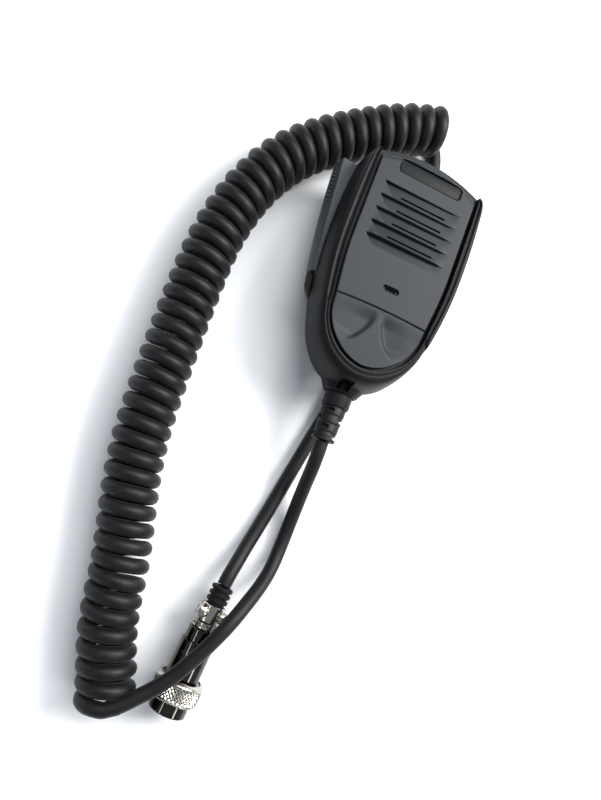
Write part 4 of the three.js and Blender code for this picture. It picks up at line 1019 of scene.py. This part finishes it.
def make_clamp():
    """The cord clamp: a lower half, a saddle over it and two screws through their ears."""
    ring = turned("clamp_ring", [(4.5, 0), (4.8, 0.3), (4.8, 6.2), (4.5, 6.5)], 56)
    carve(ring, [turned("bore", [(CLAMP_BORE_R, -1), (CLAMP_BORE_R, 8)], 48)])
    for node_name, low, high, ear in (
        ("plug_clamp_base", -12, -CLAMP_SPLIT, (CLAMP_BASE_LOW, -CLAMP_SPLIT)),
        ("plug_clamp_saddle", CLAMP_SPLIT, 12, (CLAMP_SPLIT, CLAMP_SADDLE_TOP)),
    ):
        half = copied(ring, node_name + "_made")
        ears = []
        for side in (-1, 1):
            across = (side * CLAMP_BORE_R, side * CLAMP_EAR_END)
            ears.append(cuboid("ear", across, ear, (1.2, 5.4), 0.35, 3))
        carve(half, [cuboid("keep", (-12, 12), (low, high), (-1, 9))], "INTERSECT")
        carve(half, ears, "UNION")
        seat(outwards(half), PLUG, finishes["satin"], [node_name])
    bpy.data.objects.remove(ring)
    for i, side in ((1, -1), (2, 1)):
        screw = turned(f"clamp_screw_{i}_made", [
            (0.8, -3.6), (0.8, 4.25), (1.8, 4.25), (2.05, 4.45), (2.05, 4.9), (1.8, 5.3), (1.1, 5.6),
            (0.4, 5.7),
        ], 40)
        carve(screw, [cuboid("slot", (-2.5, 2.5), (-0.28, 0.28), (5.0, 7))])
        up = Matrix.Translation((side * CLAMP_SCREW_X, 0, CLAMP_SCREW_Z))
        up = up @ Matrix.Rotation(-math.pi / 2, 4, "X")
        up = up @ Matrix.Rotation(math.radians(CLAMP_SLOT_TURN * side), 4, "Z")
        seat(turned_to(screw, up), PLUG, finishes["satin"], [f"plug_clamp_screw_{i}"])


COLLAR_NOTCHES = 10


def make_collar():
    collar = turned("plug_collar_made", [
        (3.4, 6.8), (4.75, 6.8), (5.0, 7.0), (5.0, 8.95), (4.75, 9.2), (3.4, 9.2),
    ], 64)
    notch = cuboid("notch", (-0.65, 0.65), (4.1, 6.5), (7.2, 8.4))
    notches = []
    for i in range(COLLAR_NOTCHES):
        turn = Matrix.Rotation(i * 2 * math.pi / COLLAR_NOTCHES, 4, "Z")
        notches.append(turned_to(copied(notch, "notch_copy"), turn))
    bpy.data.objects.remove(notch)
    carve(collar, notches)
    return seat(outwards(collar), PLUG, finishes["satin"], ["plug_collar"])


def make_tube():
    tube = turned("plug_rear_tube_made", [
        (4.4, 9.5), (5.4, 9.5), (5.6, 9.7), (5.6, 13.7), (5.5, 13.8), (5.5, 14.05), (6.25, 14.2),
        (6.4, 14.4), (6.4, 27.3), (6.25, 27.55), (4.4, 27.6),
    ], 96)
    # the tube's darkened nickel paints a dark reflection of its surroundings
    return seat(tube, PLUG, finishes["dark_reflection_nickel"], ["plug_rear_tube"], angle=25)


KNURL_COUNT = 40                  # diamonds round the ring
KNURL_DEPTH, KNURL_SLANT = 0.45, 0.9
KNURL_START, KNURL_END, RING_FACE = 29.0, 35.5, 35.9
RING_R = 9.22


def make_coupling_ring():
    around, along = KNURL_COUNT * 6, 36
    loops = []
    lead_in = [(7.6, 35.9), (7.6, 27.9), (8.1, 27.9), (8.4, 28.05), (9.0, 28.6), (9.1, 28.8)]

    def hoop(radius, z):
        angles = np.arange(around) * 2 * math.pi / around
        return [(radius * math.sin(angle), radius * math.cos(angle), z) for angle in angles]

    for r, z in lead_in:
        loops.append(hoop(r, z))
    pitch = 2 * math.pi * RING_R / KNURL_COUNT
    for k in range(along + 1):
        z = KNURL_START + (KNURL_END - KNURL_START) * k / along
        fade = min(1.0, 5 * k / along, 5 * (along - k) / along)
        loop = []
        for i in range(around):
            angle = i * 2 * math.pi / around
            right = (angle * RING_R + z * KNURL_SLANT) / pitch % 1
            left = (angle * RING_R - z * KNURL_SLANT) / pitch % 1
            groove = max(0.0, 1 - 2.4 * min(right, 1 - right), 1 - 2.4 * min(left, 1 - left))
            r = RING_R - KNURL_DEPTH * groove * fade
            loop.append((r * math.sin(angle), r * math.cos(angle), z))
        loops.append(loop)
    loops += [hoop(8.95, 35.75), hoop(8.7, RING_FACE), hoop(7.65, RING_FACE)]
    ring = ringed("coupling_ring_made", loops, closed=True)
    return seat(ring, PLUG, finishes["satin"], ["coupling_ring"], "plug_ring", angle=28)


def make_skirt():
    skirt = turned("plug_skirt_made", [
        (5.9, 28.2), (7.2, 28.2), (7.2, 36.4), (7.12, 36.5), (7.12, 36.8), (7.2, 36.9), (7.2, 40.3),
        (7.05, 40.6), (6.9, 40.7), (6.2, 40.7), (6.1, 40.55), (6.1, 30),
    ], 96)
    # the skirt's darkened nickel paints a dark reflection of its surroundings
    return seat(skirt, PLUG, finishes["dark_reflection_nickel"], ["plug_skirt"], angle=25)


CONTACT_COUNT, CONTACT_CIRCLE_R = 6, 3.5


def to_contact(i):
    """The shift from the plug's axis to a contact's place on their circle."""
    angle = i * 2 * math.pi / CONTACT_COUNT
    return Matrix.Translation((CONTACT_CIRCLE_R * math.sin(angle), CONTACT_CIRCLE_R * math.cos(angle), 0))


def make_insert():
    insert = turned("plug_insert_made", [
        (5.8, 28.2), (5.8, 40.1), (5.5, 40.4), (4.9, 40.4), (4.8, 40.1),
    ], 72)
    bores = [turned_to(turned("bore", [(1.15, 30), (1.15, 44)], 28), to_contact(i))
             for i in range(CONTACT_COUNT)]
    carve(insert, [*bores, cuboid("key", (-0.6, 0.6), (5, 7), (36, 42))])
    seat(outwards(insert), PLUG, finishes["phenolic"], ["plug_insert"])
    first = turned("contact", [
        (1.0, 30.2), (1.0, 39.9), (0.9, 40.1), (0.6, 40.1), (0.55, 39.9), (0.55, 35),
    ], 28)
    for i in range(CONTACT_COUNT):
        contact = turned_to(copied(first, f"contact_{i + 1}_made"), to_contact(i))
        seat(contact, PLUG, finishes["brass"], [f"contact_socket_{i + 1}"])
    bpy.data.objects.remove(first)


# ------------------------------------------------------------------ inner works that stay as they are
INNER_FINISHES = {
    "steel": ["ptt_hinge_pin", "ptt_return_spring", "speaker_frame", "cord_clamp_bar",
              "cord_clamp_screw_1", "cord_clamp_screw_2"],
    "dark": ["ptt_switch_body", "mic_capsule", "mic_rubber_boot", "speaker_gasket", "wire_loom",
             "dust_cloth"],
    "phenolic": ["ptt_switch_plunger"],
    "laminate": ["circuit_board"],
    "ferrite": ["speaker_magnet"],
    "paper": ["speaker_cone"],
    "nylon": ["board_connector"],
    "cord": ["inner_cord_end"],
}


def finish_inner_works():
    for finish, names in INNER_FINISHES.items():
        for name in names:
            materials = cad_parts[name].data.materials
            materials.clear()
            materials.append(finishes[finish])


finishes = make_finishes()
make_studio()
make_camera()
make_front_shell()
make_rear_shell()
make_grille_panel()
make_lower_panel()
make_name_plate()
make_lever()
make_lever_ridges()
make_shell_screws()
make_stud()
make_boot()
make_grommet()
make_clamp()
make_collar()
make_tube()
make_coupling_ring()
make_skirt()
make_insert()
finish_inner_works()
make_cord(finishes["cord"])
clear()
